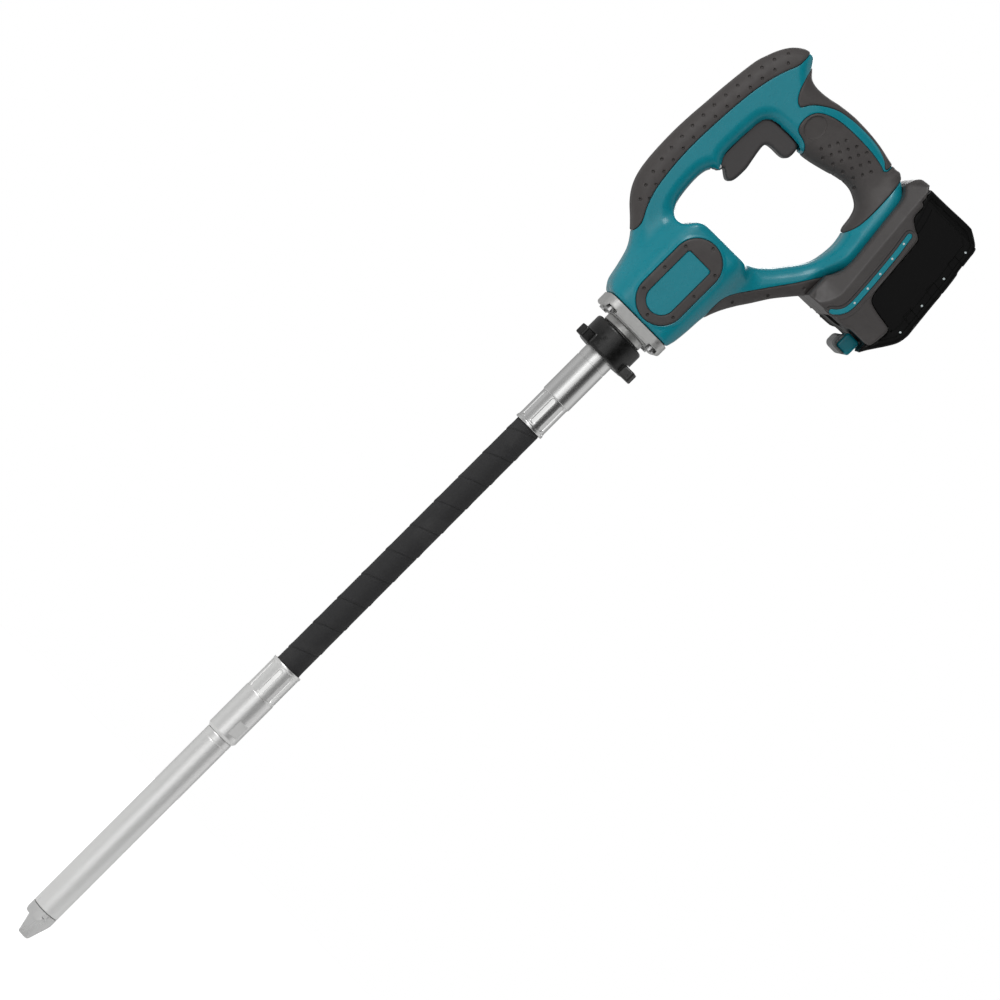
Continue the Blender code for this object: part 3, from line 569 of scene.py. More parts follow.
REAR_PAD = smooth_path([
    (4, 872), (1.5, 879), (0, 884), (-3, 888.5), (-8, 891.4), (-15, 893.2), (-18.6, 897),
    (-19.6, 904), (-18.2, 910.6), (-14, 916.2), (-6, 920.6), (4, 923.4), (20, 924.6), (38, 924.2),
    (50, 922.2), (55.2, 920.2)]) + smooth_path([(57.4, 922), (58.4, 930), (59, 945)]) + smooth_path([
        (70.4, 945), (70.6, 928), (71.6, 912), (72.4, 892), (71.6, 876), (68.2, 864.5),
        (63, 856)]) + [(40, 870)]
SPINE_PAD = [(-46, 956)] + smooth_path([
    (-46, 948), (-43.6, 938), (-41.4, 928), (-38.6, 918), (-34, 910.6), (-29.4, 907.8)]) + smooth_path([
        (-27.6, 909), (-24.4, 914.4), (-19.4, 919.6), (-12, 924.8), (-4, 928.8), (6, 931.2),
        (16, 932.4), (28, 932.6), (40, 931.4), (50, 927.2), (55.6, 922.6), (57.6, 930), (58.2, 956)])
BUMPER = smooth_path([
    (38, 729), (35.6, 738), (34.8, 748), (36, 757.5), (40, 766), (46.4, 775.5), (54, 786.5),
    (61, 796.5), (67.4, 805.6), (73.6, 815), (79.4, 823.5), (86, 832)]) + [(96, 832), (96, 780), (60, 740)]
BADGE_HALF = 20.6            # badge ring: half width, and its ends along Z
BADGE_ENDS = (699.4, 780.6)
PLATE_HALF = 12.4            # badge plate
PLATE_ENDS = (707.5, 763.6)
LIP_LEVELS = (0.0, 0.35, 0.9, 1.9, 2.9)         # the teal lip round the badge ring, outwards
SEAM_LEVELS = (-0.9, -0.35, 0.0)                # the groove where the halves meet, by Y
SEAM_HEIGHTS = (0.0, -0.45, -0.6)
FRONT_DIMPLES = 29
FRONT_DIMPLE_SHIFT = 3.6
ON_BARREL = 24                                  # the barrel's flat sides lie beyond this Y


def upright_oval(half, low, high, flat_top=False):
    """A tall outline with round ends; with flat_top only its lower end is round."""
    outline = [(half * math.cos(a), low + half + half * math.sin(a))
               for a in np.linspace(math.pi, math.tau, 25)]
    if flat_top:
        return outline + [(half, high - 1.5), (half - 1.5, high), (1.5 - half, high), (-half, high - 1.5)]
    return outline + [(half * math.cos(a), high - half + half * math.sin(a))
                      for a in np.linspace(0, math.pi, 25)]


def front_dimples():
    """Two staggered rows of dimples that follow the front grip."""
    middle = smooth_path([(-60.5, 934), (-67, 918), (-70.5, 900), (-73, 880), (-74.8, 858), (-75.4, 836),
                          (-75, 814), (-73, 794), (-68.5, 777), (-62, 763)], per=12)
    line = np.array(middle)
    along = np.concatenate([[0], np.cumsum(np.linalg.norm(np.diff(line, axis=0), axis=1))])
    spots = []
    for i in range(FRONT_DIMPLES):
        at = along[-1] * (i + 0.5) / FRONT_DIMPLES
        x = np.interp(at, along, line[:, 0])
        z = np.interp(at, along, line[:, 1])
        spots.append((x + (FRONT_DIMPLE_SHIFT if i % 2 else -FRONT_DIMPLE_SHIFT), z))
    return spots


def rear_dimples():
    """Two slanting lattices of dimples that meet on the side of the rear grip."""
    spots = []
    for row in range(5):
        for column in range(3):
            spots.append((16.4 + 9.3 * column - 3.2 * row, 916 + 2.5 * column - 6.3 * row))
        for column in range(3 if row == 2 else 2):
            spots.append((42 + 6.4 * column - 3.2 * row, 917 - 4.2 * column - 6.6 * row))
    return [(x, z) for x, z in spots if z > 888.5 + 0.08 * abs(x - 40)]


def ring_dimples():
    side = (BADGE_HALF + PLATE_HALF) / 2
    spots = [(0.4, (BADGE_ENDS[1] + PLATE_ENDS[1]) / 2 + 5.5), (0.4, BADGE_ENDS[0] + 4.1)]
    for z in (716.5, 740, 763.6):
        spots += [(-side, z), (side, z)]
    return spots


BUMPER_DIMPLES = [(43.2, 760.5), (59.8, 784.8), (76.5, 809.2)]


class Housing:
    """Fields that describe the housing's outer surface and the lines on it."""

    def __init__(self):
        self.outer = Sheet(SILHOUETTE, *WINDOW)
        self.opening = Sheet(OPENING, *WINDOW)
        self.room = Sheet(TRIGGER_ROOM, *WINDOW)
        self.pads = {"front_grip": Sheet(FRONT_PAD, *WINDOW), "rear_grip": Sheet(REAR_PAD, *WINDOW),
                     "spine_grip": Sheet(SPINE_PAD, *WINDOW), "strut_bumper": Sheet(BUMPER, *WINDOW)}
        self.ring = Sheet(upright_oval(BADGE_HALF, *BADGE_ENDS), *WINDOW)
        self.badge = Sheet(upright_oval(PLATE_HALF, *PLATE_ENDS, flat_top=True), *WINDOW)

    def surface(self, x, y, z):
        side = np.maximum(self.outer(x, z), -self.opening(x, z))
        flare = 8.0 * ease((x - 58) / 26) * ease((z - 815) / 40)
        waist = 1.6 * ease((x + 20) / 30) * (1 - ease((x - 40) / 25)) * ease((z - 880) / 10)
        handle = plate(side, y, HANDLE_HALF + flare - waist, 13.5)
        across = rounded_rectangle(x, y, BARREL_HALF, BARREL_HALF, 15)
        barrel = np.maximum(eased_corner(across, z - BARREL_TOP, 9),
                            eased_corner(np.abs(x) - BARREL_HALF, z - BARREL_TOP, 13))
        body = eased_corner(joined(handle, barrel, 19), side, 3)
        body = eased_corner(body, FLANGE_TOP + 0.2 - z, 3)
        room = np.maximum(self.room(x, z), np.abs(y) - 9.8)
        return np.maximum(body, -room)

    def on_barrel(self, points, sheet):
        value = sheet(points[:, 0], points[:, 2])
        return np.where(np.abs(points[:, 1]) > ON_BARREL, value, FAR)


def spot_distance(points, spots):
    best = np.full(len(points), 50.0)
    for x, z in spots:
        best = np.minimum(best, np.hypot(points[:, 0] - x, points[:, 2] - z))
    return best


def steps_at(value, levels, heights):
    """Height of a cross-section given by levels and heights, flat beyond its ends."""
    return np.interp(value, levels, heights)


DIMPLE_LEVELS = (0.5, 1.0, 1.45)
DIMPLE_DEPTHS = (-1.4, -1.25, 0.0)
THUMB_OVAL = (-8.6, 905.4, 8.6, 10.6)          # centre and half sizes


def dimple(points, spots):
    return steps_at(spot_distance(points, spots), DIMPLE_LEVELS, DIMPLE_DEPTHS)


def thumb_oval(points):
    """Distance outwards from the oval where the thumb rests, roughly in millimetres."""
    x, z, half_x, half_z = THUMB_OVAL
    value = (np.hypot((points[:, 0] - x) / half_x, (points[:, 2] - z) / half_z) - 1) * half_x
    return np.where(np.abs(points[:, 1]) > 8, value, FAR)


def make_housing(mats):
    shape = Housing()
    points, triangles = skin(shape.surface, (-90, -38, 692), (92, 3, 950), 1.15)
    points, triangles = near_half(points, triangles, SEAM_LEVELS[::-1])
    for sheet in shape.pads.values():
        points, triangles = sliced(points, triangles, lambda p: sheet(p[:, 0], p[:, 2]),
                                   (-1.3, -0.55, -0.2, 0.0, 0.3, 0.7))
    points, triangles = sliced(points, triangles, lambda p: shape.on_barrel(p, shape.ring),
                               (-1.2, -0.5, -0.15) + LIP_LEVELS)
    points, triangles = sliced(points, triangles, lambda p: shape.on_barrel(p, shape.badge),
                               (-0.5, -0.1, 0.15, 0.5, 1.0))
    spots = front_dimples() + rear_dimples() + BUMPER_DIMPLES + ring_dimples()
    points, triangles = sliced(points, triangles, lambda p: spot_distance(p, spots), DIMPLE_LEVELS)
    points, triangles = sliced(points, triangles, thumb_oval, (-1.2, -0.5, 0.0))
    normals = outward(shape.surface, points)
    pad_values = {name: sheet(points[:, 0], points[:, 2]) for name, sheet in shape.pads.items()}
    ring = shape.on_barrel(points, shape.ring)
    badge = shape.on_barrel(points, shape.badge)
    near_pad = np.min(list(pad_values.values()), axis=0)
    seam = steps_at(points[:, 1], SEAM_LEVELS, SEAM_HEIGHTS)

    body = steps_at(near_pad, (0.0, 0.02, 0.3, 0.7), (-1.7, -0.9, -0.12, 0.0))
    body += steps_at(ring, LIP_LEVELS[:1] + (0.02,) + LIP_LEVELS[1:], (-1.2, -0.6, 0.35, 0.6, 0.35, 0.0))
    body += np.where(near_pad > 0.3, seam, 0)
    body[near_pad < 0] = np.minimum(body[near_pad < 0], -1.7)
    shell = capped(points + normals * body[:, None], triangles)
    both("housing", *shell, mats, "teal_plastic", "shell")

    for name, value in pad_values.items():
        inside = (value[triangles] <= -0.15).all(1)
        others = [v for other, v in pad_values.items() if other != name]
        inside &= (np.min(others, axis=0)[triangles] > -0.15).all(1)
        top = steps_at(-value, (0.2, 0.55, 1.3), (-0.35, 0.3, 0.6)) + dimple(points, spots) + seam
        if name == "rear_grip":
            top = top + steps_at(thumb_oval(points), (-1.2, -0.5, 0.0), (-1.1, -0.9, 0.0))
        mesh = thick(points, normals, triangles[inside], top, 1.5)
        both(name, *mesh, mats, "grey_rubber", "skin")
    in_ring = ((ring[triangles] <= -0.14) & (badge[triangles] >= 0.14)).all(1)
    top = steps_at(-ring, (0.15, 0.5, 1.2), (0.5, 1.35, 1.7))
    top = np.minimum(top, steps_at(badge, (0.15, 0.5, 1.0), (0.9, 1.5, 1.7))) + dimple(points, spots)
    mesh = thick(points, normals, triangles[in_ring], top, 1.0)
    both("badge_ring", *mesh, mats, "grey_rubber", "skin")
    in_badge = (badge[triangles] <= -0.09).all(1)
    top = steps_at(-badge, (0.1, 0.5), (0.35, 0.7))
    mesh = thick(points, normals, triangles[in_badge], top, 0.8)
    both("badge_plate", *mesh, mats, "teal_plastic", "skin")


def both(name, points, triangles, mats, slot, word):
    """A near piece and its mirror image on the far side."""
    sides = ((points, triangles), mirrored(points, triangles))
    for (_, side), mesh in zip(SIDES, sides):
        node = f"{name}_{side}"
        to_piece(f"{node}_{word}", *mesh, mats[slot], "drive_unit", slot, (node,))


# ---------------- trigger

TRIGGER_OUTLINE = smooth_path([
    (-36.5, 831.2), (-38.2, 827.6), (-41, 826.6), (-43.6, 829), (-45.4, 835), (-45.6, 843),
    (-45.6, 860), (-45, 875), (-42, 883.6), (-35, 886.8), (-24, 887.6), (-14, 887.6), (-9, 886.8),
    (-6.2, 884), (-5.4, 878), (-6.6, 873.2), (-11, 871), (-20, 870.7), (-25.2, 869.6), (-27, 866.4),
    (-26.4, 860), (-24.8, 851), (-23.6, 844), (-23.8, 834), (-25.2, 828.6), (-28.6, 826.8),
    (-32, 828.4)], closed=True)


def make_trigger(mats):
    outline = Sheet(TRIGGER_OUTLINE, (-60, 815), (10, 900))

    def field(x, y, z):
        return plate(outline(x, z), y, 9.0, 2.6)

    moulded("trigger_lever", field, (-50, -12, 822), (0, 12, 892), 0.8, mats["trigger_plastic"],
            "trigger", "trigger_plastic", "trigger")


# ---------------- turned pieces

def held(rows):
    """Add a row close to each end of every long run, so that its shading stays even."""
    found = []
    for (r0, z0), (r1, z1) in zip(rows, rows[1:]):
        length = math.hypot(r1 - r0, z1 - z0)
        found.append((r0, z0))
        if length > 1.2:
            for t in (0.25 / length, 1 - 0.25 / length):
                found.append((r0 + (r1 - r0) * t, z0 + (z1 - z0) * t))
    return found + [rows[-1]]


def lathe(name, rows, mat, slot, node, around=96, radius=None, angle=CREASE_ANGLE):
    """Turn a closed outline of (radius, z) rows about Z; radius(theta, r, z) may shape each point."""
    rows = held(rows)
    count = len(rows)
    theta = math.tau * np.arange(around) / around
    r = np.repeat([row[0] for row in rows], around).reshape(count, around).astype(float)
    z = np.repeat([row[1] for row in rows], around).reshape(count, around).astype(float)
    turn = np.tile(theta, (count, 1))
    if radius is not None:
        r = radius(turn, r, z)
    points = np.stack([r * np.cos(turn), r * np.sin(turn), z], axis=2).reshape(-1, 3)
    faces = []
    for i in range(count):
        a = i * around + np.arange(around)
        b = ((i + 1) % count) * around + np.arange(around)
        a2, b2 = np.roll(a, -1), np.roll(b, -1)
        faces += [np.stack([a, a2, b2], 1), np.stack([a, b2, b], 1)]
    to_piece(name, points, np.concatenate(faces), mat, "drive_unit", slot, (node,), angle)


def run(low, high, step):
    """Even heights from low to high, about a step apart."""
    return list(np.linspace(low, high, max(2, int(round((high - low) / step)) + 1)))


PRESS_COUNT = 8              # press marks round a sleeve
PRESS_DEPTH = 1.0


def press_marks(theta, z, low, high, width, radius, turn):
    """Depth of a ring of upright round-ended press marks."""
    pitch = math.tau / PRESS_COUNT
    across = (np.mod(theta - turn + pitch / 2, pitch) - pitch / 2) * radius
    half = width / 2
    along = np.maximum(np.maximum(low + half - z, z - high + half), 0)
    inside = half - np.hypot(across, along)
    return (PRESS_DEPTH - across ** 2 / (2 * radius)) * ease(inside / 0.45 + 0.5)


FLAT_TURN = math.radians(-60)                   # towards the nearer spanner flat
FLAT_REACH = 13.1
FLAT_ENDS = (231.6, 245.4)
SLEEVE_R = 14.2
PRESSED_R = 13.8
UPPER_R = 13.85
UPPER_PRESSED_R = 13.2
SLEEVE_STEPS = 320           # points round a sleeve


def make_sleeves(mats):
    def lower(theta, r, z):
        press = press_marks(theta, z, 271.4, 297.5, 4.2, PRESSED_R, math.radians(-103))
        facing_flat = np.maximum(np.abs(np.cos(theta - FLAT_TURN)), 0.3)
        on_flat = (z > FLAT_ENDS[0]) & (z < FLAT_ENDS[1]) & (r > 13)
        flat = np.where(on_flat, FLAT_REACH / facing_flat, FAR)
        outer = r > 12.7
        return np.minimum(np.where(outer, r - press, r), np.where(outer, flat, FAR))

    rows = [(10.8, 225.2), (12.7, 225.2), (13.0, 225.4), (13.6, 226.4), (14.1, 227.2), (14.2, 227.8)]
    rows += [(SLEEVE_R, z) for z in run(228.5, 231.4, 1) + [231.59, 231.7] + run(233, 245, 2)
             + [245.3, 245.45] + run(248, 269.6, 4)]
    rows += [(14.1, 270.1), (13.8, 270.4)] + [(PRESSED_R, z) for z in run(270.8, 299.3, 0.5)]
    rows += [(13.85, 299.6), (14.15, 299.9), (14.2, 300.4), (14.2, 301.5), (13.9, 301.95),
             (12.2, 302.0), (12.1, 301.0), (12.1, 281), (10.8, 240)]
    lathe("lower_sleeve_pressed", rows, mats["satin_metal"], "bright_metal", "lower_sleeve",
          SLEEVE_STEPS, lower)

    def upper(theta, r, z):
        press = press_marks(theta, z, 578.5, 605, 4.8, UPPER_PRESSED_R, math.radians(-98))
        return np.where(r > 12.7, r - press, r)

    rows = [(12.1, 598), (12.1, 575), (12.3, 574.55), (13.5, 574.5), (13.75, 574.8), (13.75, 576.6),
            (13.5, 577.0), (13.2, 577.3)]
    rows += [(UPPER_PRESSED_R, z) for z in run(577.6, 605.2, 0.5)] + [(13.3, 605.6), (13.75, 606.0)]
    rows += [(UPPER_R, z) for z in (606.5, 612, 630, 645)] + [(13.6, 645.2), (13.6, 646.4)]
    rows += [(UPPER_R, 646.6), (UPPER_R, 659.9), (16.9, 660.1), (16.9, 663.8), (16.5, 664), (7.5, 664)]
    lathe("upper_sleeve_pressed", rows, mats["bright_metal"], "bright_metal", "upper_sleeve",
          SLEEVE_STEPS, upper)


HOSE_PITCH = 27.5            # one turn of the wrap
HOSE_R = 11.8
HOSE_ENDS = (281, 596)


def make_hose(mats):
    def wrapped(theta, r, z):
        turn = theta / math.tau
        phase = np.mod((z - 300) / HOSE_PITCH - turn, 1.0)
        near = np.minimum(phase, 1 - phase) * HOSE_PITCH
        lap = 0.35 * ease(1 - phase * 3.5) - 0.75 * np.exp(-(near / 0.75) ** 2)
        return np.where(r > 11, r + lap - 0.2, r)

    low, high = HOSE_ENDS
    rows = [(6.5, high), (6.5, low)]
    rows += [(HOSE_R, z) for z in [low, 299] + run(300, 577, 0.6) + [580, high]]
    lathe("hose_wrapped", rows, mats["hose_rubber"], "hose_rubber", "hose", 120, wrapped, angle=60)


def facing(x, y, degrees):
    """Distance along a direction round the tool's axis."""
    return x * math.cos(math.radians(degrees)) + y * math.sin(math.radians(degrees))


HEAD_R = 12.5
NOSE_TOP = 27
NOSE_LEDGE = 17.0            # the tip's milled faces end here
TIP_FACES = ((-120, 3.4), (60, 3.4), (180, 3.7))            # direction, and reach at the end
TIP_GROWTH = 0.22
NECK_FLATS = ((-100, 11.7), (-140, 11.2), (80, 11.7), (40, 11.2))
NOTCH = (2.8, 24.3, 1.8, 2.2)                   # centre and half sizes in X and Z


def make_head(mats):
    rows = [(9.6, 27.35), (12.1, 27.35), (12.45, 27.6)] + [(HEAD_R, z) for z in (28.2, 60, 120, 180, 218)]
    rows += [(12.35, 218.25), (12.35, 218.75), (HEAD_R, 219), (HEAD_R, 224.2), (12.2, 224.7),
             (10.5, 224.8), (10.5, 240), (9.6, 240)]
    lathe("head_tube_turned", rows, mats["satin_metal"], "bright_metal", "head_tube")

    def nose(x, y, z):
        r = np.hypot(x, y)
        cone = np.interp(z, (-1, 0, 1, 5, 10, 15, 20, 40), (5.3, 5.8, 6.6, 8, 9.5, 11.2, HEAD_R, HEAD_R))
        solid = np.maximum((r - cone) * 0.96, np.maximum(-z, z - NOSE_TOP))
        spigot = np.maximum(r - 9.3, np.abs(z - 30) - 6)
        for turn, reach in TIP_FACES:
            away = facing(x, y, turn) - reach - TIP_GROWTH * np.clip(z, 0, NOSE_LEDGE)
            solid = np.maximum(solid, np.minimum(away, (z - NOSE_LEDGE) * -0.9))
        for turn, reach in NECK_FLATS:
            solid = np.maximum(solid, np.minimum(facing(x, y, turn) - reach, 26.5 - z))
        across, up, half_x, half_z = NOTCH
        for side in (-1, 1):
            notch = np.maximum(np.abs(x - side * across) - half_x, np.abs(z - up) - half_z)
            solid = np.maximum(solid, -np.maximum(notch, 9.6 + side * y))
        return np.minimum(solid, spigot)

    points, triangles = skin(nose, (-13.5, -13.5, -1.2), (13.5, 13.5, 37.2), 0.45)
    points[:, 2] = np.maximum(points[:, 2], 0)
    to_piece("nose_milled", points, triangles, mats["bright_metal"], "drive_unit", "bright_metal", ("nose",))


# ---------------- coupling

NUT_R = 23.5
NUT_MIDDLE = 667.0
NUT_ROUNDING = 2.4
BORE_STEP = 659.8            # the nut's bore is wider above this
WING_COUNT = 3
WING_TURN = math.radians(-25)
FLANGE_HALF = 31.3
FLANGE_BASE = 686
FLANGE_ROUNDING = 2.2
SCREW_PLACE = 22.5           # plus and minus, in X and Y
SEAT_R = 4.6


def make_coupling(mats):
    def nut(x, y, z):
        r = np.hypot(x, y)
        drum = eased_corner(r - NUT_R, np.abs(z - NUT_MIDDLE) - 12, NUT_ROUNDING)
        wings = np.full(np.shape(x), FAR)
        for i in range(WING_COUNT):
            a = WING_TURN + math.tau * i / WING_COUNT
            u, v = x * math.cos(a) + y * math.sin(a), -x * math.sin(a) + y * math.cos(a)
            flat = rounded_rectangle(u - 26.5, v, 7.0, 4.9 + 0.06 * np.maximum(0, 30 - u), 2.2)
            wing = plate(flat, z - 659.8, 4.7, 1.2)
            dish = np.maximum(rounded_rectangle(u - 28.4, v, 2.7, 2.6, 0.8), 661.6 - z)
            wings = np.minimum(wings, np.maximum(wing, -dish))
        body = joined(drum, wings, 2.2)
        bore = np.where(z > BORE_STEP, r - 17.2, r - 14.15)
        return np.maximum(body, -bore)

    moulded("coupling_nut_cast", nut, (-36, -36, 653), (36, 36, 681), 0.7, mats["nut_metal"],
            "nut", "nut_metal", "coupling_nut")

    def flange(x, y, z):
        across = rounded_rectangle(x, y, FLANGE_HALF, FLANGE_HALF, 12)
        body = np.maximum(eased_corner(across, FLANGE_BASE - z, FLANGE_ROUNDING), z - 696.4)
        r = np.hypot(x, y)
        body = np.maximum(body, -np.maximum(r - 9, 0))
        for sx in (-1, 1):
            for sy in (-1, 1):
                seat = np.hypot(x - sx * SCREW_PLACE, y - sy * SCREW_PLACE) - SEAT_R
                way_out = np.maximum(np.abs(x - sx * SCREW_PLACE) - SEAT_R, SCREW_PLACE - sy * y)
                body = np.maximum(body, -np.maximum(np.minimum(seat, way_out), z - 688.8))
        step = np.maximum(r - 27.5, z - 687.6)
        return np.maximum(body, -np.maximum(step, 20.4 - r))

    moulded("flange_cast", flange, (-34.5, -34.5, 684), (34.5, 34.5, 698.2), 0.7, mats["cast_metal"],
            "drive_unit", "cast_metal", "flange")
    rows = [(9, 685.7), (9, 664.3), (16.6, 664.3), (16.9, 664.8)]
    for z in run(666, 676, 1.5):
        rows += [(16.9, z - 0.4), (16.2, z), (16.9, z + 0.4)]
    rows += [(16.9, 679.4), (18.2, 679.7), (18.75, 680.4), (18.75, 685.0), (18.4, 685.7)]
    lathe("boss_turned", rows, mats["cast_metal"], "cast_metal", "boss")


# ---------------- foot and battery

def pulled_in(points, amount):
    """Bring the battery's side of an outline nearer to the rail."""
    return [(x - amount * float(ease(np.array((x - 88) / 22))), z) for x, z in points]


STRIPE_LINE = pulled_in(smooth_path([
    (105.9, 896), (107.2, 888), (108.6, 879), (110, 866), (111.2, 852), (112.2, 838), (112.8, 826),
    (111.8, 818.5), (108.6, 813), (104.4, 809.4)]), 2.0)
FOOT_OUTLINE = pulled_in(smooth_path([
    (89.6, 932.5), (92.4, 926), (92.3, 922.6), (96, 920.2), (96.6, 911.5), (99, 907.4), (105, 903.8),
    (113, 899.8), (114.6, 894), (116, 880), (117.4, 862), (118.8, 847), (121.8, 838.6), (130, 835.4),
    (144, 833.2), (148.2, 831), (148.6, 825), (147.4, 816), (145.4, 811.6), (139, 811), (127, 810.6),
    (124, 809.4), (120, 808.2), (106, 807.4), (92, 806.8), (81, 806.2)], per=4) + smooth_path([
        (81, 828), (84.6, 834), (87, 842), (87.2, 853), (85.6, 868), (83.6, 886), (81.8, 902),
        (80.6, 913), (77.6, 919.4), (74.8, 923.4), (75.4, 929), (79, 934.8), (87, 936)], per=4), 2.6)
CREASE = smooth_path([(89, 936), (90.2, 912), (93, 882), (95.6, 852), (97.6, 832), (97.6, 822),
                      (94, 813), (88, 805)])
RAIL_TILT = math.radians(6.5)
RAIL_FACE = (88.8, 936.3)
CASE_OUTLINE = pulled_in(smooth_path([
    (91, 935.6), (110, 936), (136, 937.2), (141.5, 936), (147.6, 932.2), (151.4, 929), (153.6, 925),
    (154.6, 917), (156, 907), (158.4, 891), (160.8, 866), (162.8, 847), (163.4, 839), (161.8, 830.6),
    (157.4, 822.6), (150.6, 812.4), (147.4, 807.4), (144.8, 802.6)], per=4) + smooth_path([
        (144.2, 805), (143.8, 810.4), (140, 812), (127, 811.4), (122, 810), (112, 809.2), (105, 809.4),
        (104, 830), (103, 850), (101, 880), (98, 905), (90, 926)], per=4), 3.2)


def along_rail(x, z):
    """Distance from the rail's face, outwards, and distance down it."""
    dx, dz = x - RAIL_FACE[0], z - RAIL_FACE[1]
    c, s = math.cos(RAIL_TILT), math.sin(RAIL_TILT)
    return dx * c + dz * s, dx * s - dz * c


FOOT_HALF = 38.2
CHEEK_INSIDE = 34.6          # the foot's cheeks reach inwards to this Y
STRIPE_HALF = 2.25
INLAY_LEVELS = (-0.55, -0.12, 0.0, 0.35)        # rim of the stripe's bed, outwards from its edge
CHANNEL_LEVELS = (2.0, 2.6, 2.9, 3.5, 3.8)      # the channel round the stripe
FOOT_DOTS = ((105.2, 888.5), (107.1, 873.5), (108.9, 858.2), (110.1, 843), (110.8, 827.6))
CASE_PINS = ((145.6, 919.2), (148.2, 892.2), (151.0, 864.6), (153.8, 837.4))
CASE_SQUARES = ((147.6, 906.5), (150.2, 879.6), (152.6, 851.8))
SQUARE_CORNERS = ((-6, -4.2), (6, -5.2), (6, 4.0), (-6, 5))
CASE_HALF = 35.4
CASE_SEAM = 833.2            # height of the seam between the battery's shells
BUTTON_HALF = 10.8
BUTTON_ROOM = (11.3, 144.4, 811.6)              # half width, end and top of the button's pocket


def make_foot(mats):
    window = ((60, 790), (175, 945))
    outline = Sheet(FOOT_OUTLINE, *window)
    crease = Sheet([(60, 945)] + CREASE + [(60, 800)], *window)
    stripe = Sheet(STRIPE_LINE + [(x + 0.01, z + 0.01) for x, z in reversed(STRIPE_LINE)], *window)

    def field(x, y, z):
        left = np.clip(crease(x, z), -40, 40)
        half = FOOT_HALF - 11.5 * np.clip(-left / 17, 0, 1)
        half = half - 1.6 * np.clip((824 - z) / 20, 0, 1)
        body = plate(outline(x, z), y, half, 2.0)
        out = along_rail(x, z)[0]
        return np.maximum(body, -np.maximum(np.abs(y) - CHEEK_INSIDE, 1.0 - out))

    points, triangles = skin(field, (70, -40.5, 800), (149, 3, 941), 0.95)
    points, triangles = near_half(points, triangles, (0.0, -0.25, -0.7))

    def from_stripe(p):
        value = np.abs(stripe(p[:, 0], p[:, 2])) - STRIPE_HALF
        return np.where(np.abs(p[:, 1]) > 30, value, FAR)

    def from_crease(p):
        return np.where(np.abs(p[:, 1]) > 24, crease(p[:, 0], p[:, 2]), FAR)

    points, triangles = sliced(points, triangles, from_stripe, INLAY_LEVELS + CHANNEL_LEVELS)
    points, triangles = sliced(points, triangles, from_crease, (0.0,))
    normals = outward(field, points)
    near = from_stripe(points)
    body = steps_at(near, (0.0, 0.02, 0.35), (-0.7, -0.4, 0.0))
    body += steps_at(near, CHANNEL_LEVELS, (-0.75, -0.05, 0.35, 0.35, 0.0))
    body += steps_at(points[:, 1], (-0.7, -0.25, 0.0), (0.0, -0.35, -0.5))
    shell = capped(points + normals * body[:, None], triangles)
    both("foot", *shell, mats, "foot_plastic", "cheek")
    inside = (near[triangles] <= -0.1).all(1)
    top = steps_at(-near, (0.12, 0.55), (-0.7, -0.35))
    mesh = thick(points, normals, triangles[inside], top, 0.7)
    both("stripe", *mesh, mats, "teal_plastic", "inlay")
    studs("foot_dot", FOOT_DOTS, 37.6, 0.95, 0.5, mats["pale_mark"], "drive_unit")


def studs(name, spots, y, radius, height, mat, body):
    """Small domed discs on both sides, with their faces along Y."""
    rows = ((radius, -0.4), (radius, height * 0.55), (radius * 0.82, height * 0.85), (radius * 0.45, height))
    corners = np.linspace(0, math.tau, 20, endpoint=False)
    for i, (x, z) in enumerate(spots):
        for side, word in SIDES:
            bm = bmesh.new()
            rings = [[bm.verts.new(((x + r * math.cos(a)) * MM, (side * y + side * up) * MM,
                                    (z + r * math.sin(a)) * MM)) for a in corners] for r, up in rows]
            for low, high in zip(rings, rings[1:]):
                for k in range(len(corners)):
                    bm.faces.new((low[k - 1], low[k], high[k], high[k - 1]))
            bm.faces.new(rings[0])
            bm.faces.new(rings[-1])
            bmesh.ops.recalc_face_normals(bm, faces=bm.faces)
            piece = f"{name}_{word}_{i + 1}"
            mesh = bpy.data.meshes.new(piece)
            bm.to_mesh(mesh)
            bm.free()
            present(piece, mesh, mat, body)


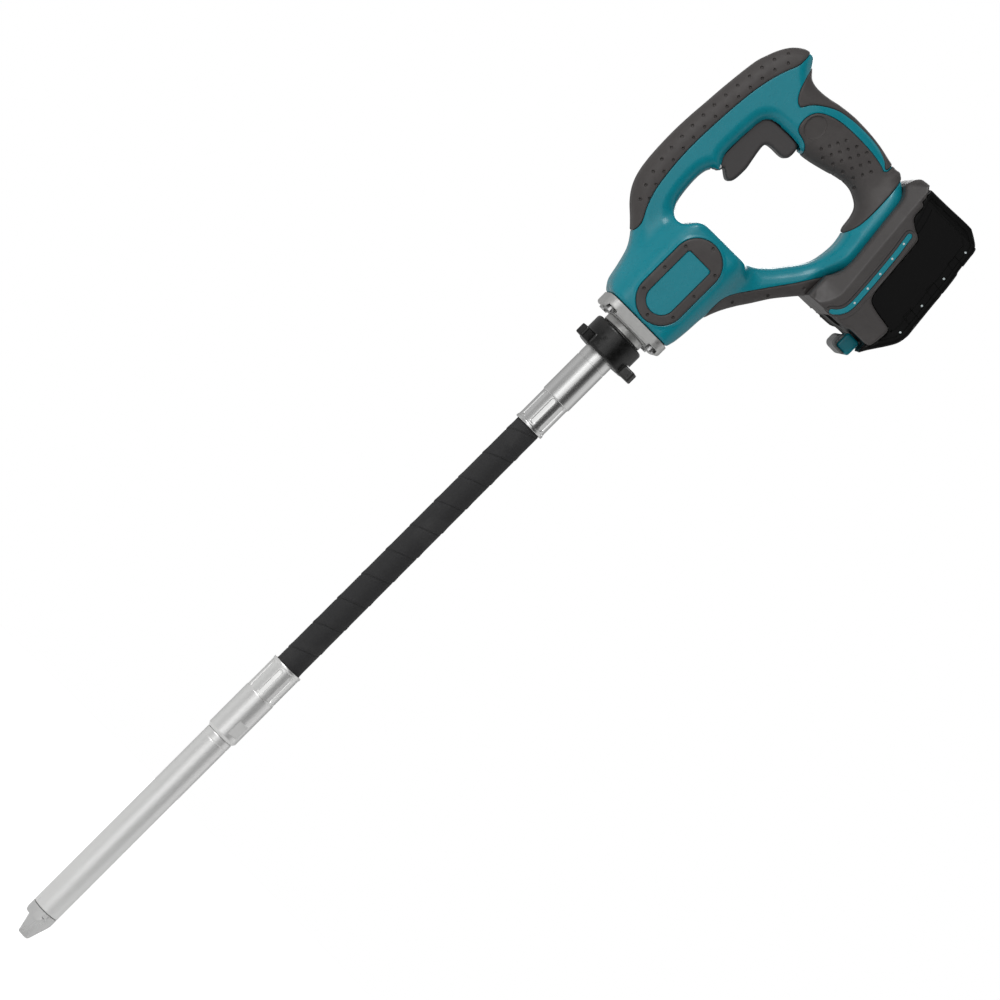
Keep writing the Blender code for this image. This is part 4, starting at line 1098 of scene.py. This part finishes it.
def make_battery(mats):
    window = ((70, 780), (180, 950))
    outline = Sheet(CASE_OUTLINE, *window)
    squares = [Sheet([(x + dx, z + dz) for dx, dz in SQUARE_CORNERS], *window) for x, z in CASE_SQUARES]
    seam = Sheet([(60, CASE_SEAM), (180, CASE_SEAM), (180, 780), (60, 780)], *window)
    foot = Sheet(FOOT_OUTLINE, *window)

    def field(x, y, z):
        half = CASE_HALF - 1.2 * (1 - ease((foot(x, z) + 0.2) / 0.9))
        half = half - 2.4 * ease((z - 927.6) / 9)
        body = plate(outline(x, z), y, half, 2.6)
        room_half, end, top = BUTTON_ROOM
        pocket = np.maximum(np.abs(y) - room_half, np.maximum(x - end, z - top))
        return np.maximum(eased_corner(body, 1.6 - along_rail(x, z)[0], 1.2), -pocket)

    def on_side(value):
        return lambda p: np.where(np.abs(p[:, 1]) > 26, value(p[:, 0], p[:, 2]), FAR)

    def from_squares(x, z):
        return np.min([square(x, z) for square in squares], axis=0)

    points, triangles = skin(field, (86, -38, 797), (164, 38, 941), 0.95)
    steps = ((on_side(from_squares), (-0.35, 0.0), (-0.7, 0.0)),
             (on_side(outline), (-10.9, -10.5, -5.4, -5.0), (0.0, -0.55, -0.55, 0.35)),
             (on_side(lambda x, z: z), (927.3, 927.8), (0.0, -0.8)),
             (lambda p: np.abs(seam(p[:, 0], p[:, 2])), (0.25, 0.5), (-0.7, 0.0)))
    for value_of, levels, _ in steps:
        points, triangles = sliced(points, triangles, value_of, levels)
    push = np.zeros(len(points))
    for value_of, levels, heights in steps:
        value = value_of(points)
        push += np.where(value < FAR / 2, steps_at(value, levels, heights), 0)
    shell = points + outward(field, points) * push[:, None]
    to_piece("battery_case_shell", shell, triangles, mats["battery_plastic"], "battery",
             "battery_plastic", ("battery_lower_case", "battery_upper_case"))
    studs("case_pin", CASE_PINS, 35.5, 0.9, 0.7, mats["pale_mark"], "battery")


def make_button(mats):
    def button(x, y, z):
        across = rounded_rectangle(x - 134.2, z - 803.4, 6.6, 7.4, 2.6)
        return plate(across, y, BUTTON_HALF, 1.8)

    def guard(x, y, z):
        outer = rounded_rectangle(x - 130.4, z - 799.8, 7.8, 6.4, 4.5)
        inner = rounded_rectangle(x - 134.0, z - 803.2, 8.6, 7.6, 3.5)
        return plate(np.maximum(outer, -inner), y, 14.6, 0.9)

    moulded("button_cap", button, (126, -13, 794), (145, 13, 813), 0.6, mats["teal_plastic"],
            "button", "teal_plastic", "battery_button")
    moulded("button_hook", guard, (120, -17, 791), (139, 17, 808), 0.6, mats["hook_plastic"],
            "battery", "battery_plastic", "button_guard")


# ---------------- the whole tool

def dress_frame(mats):
    """Give the frame's own solids the materials of their slots."""
    for part in frame["record"]["subparts"]:
        node = frame["nodes"][part["node"]]
        node.data.materials.clear()
        node.data.materials.append(mats[part["material_slot"]])


def main():
    mats = {name: surface(name, **look) for name, look in SURFACES.items()}
    make_camera()
    make_stage()
    make_housing(mats)
    make_trigger(mats)
    make_sleeves(mats)
    make_hose(mats)
    make_head(mats)
    make_coupling(mats)
    make_foot(mats)
    make_battery(mats)
    make_button(mats)
    dress_frame(mats)


main()
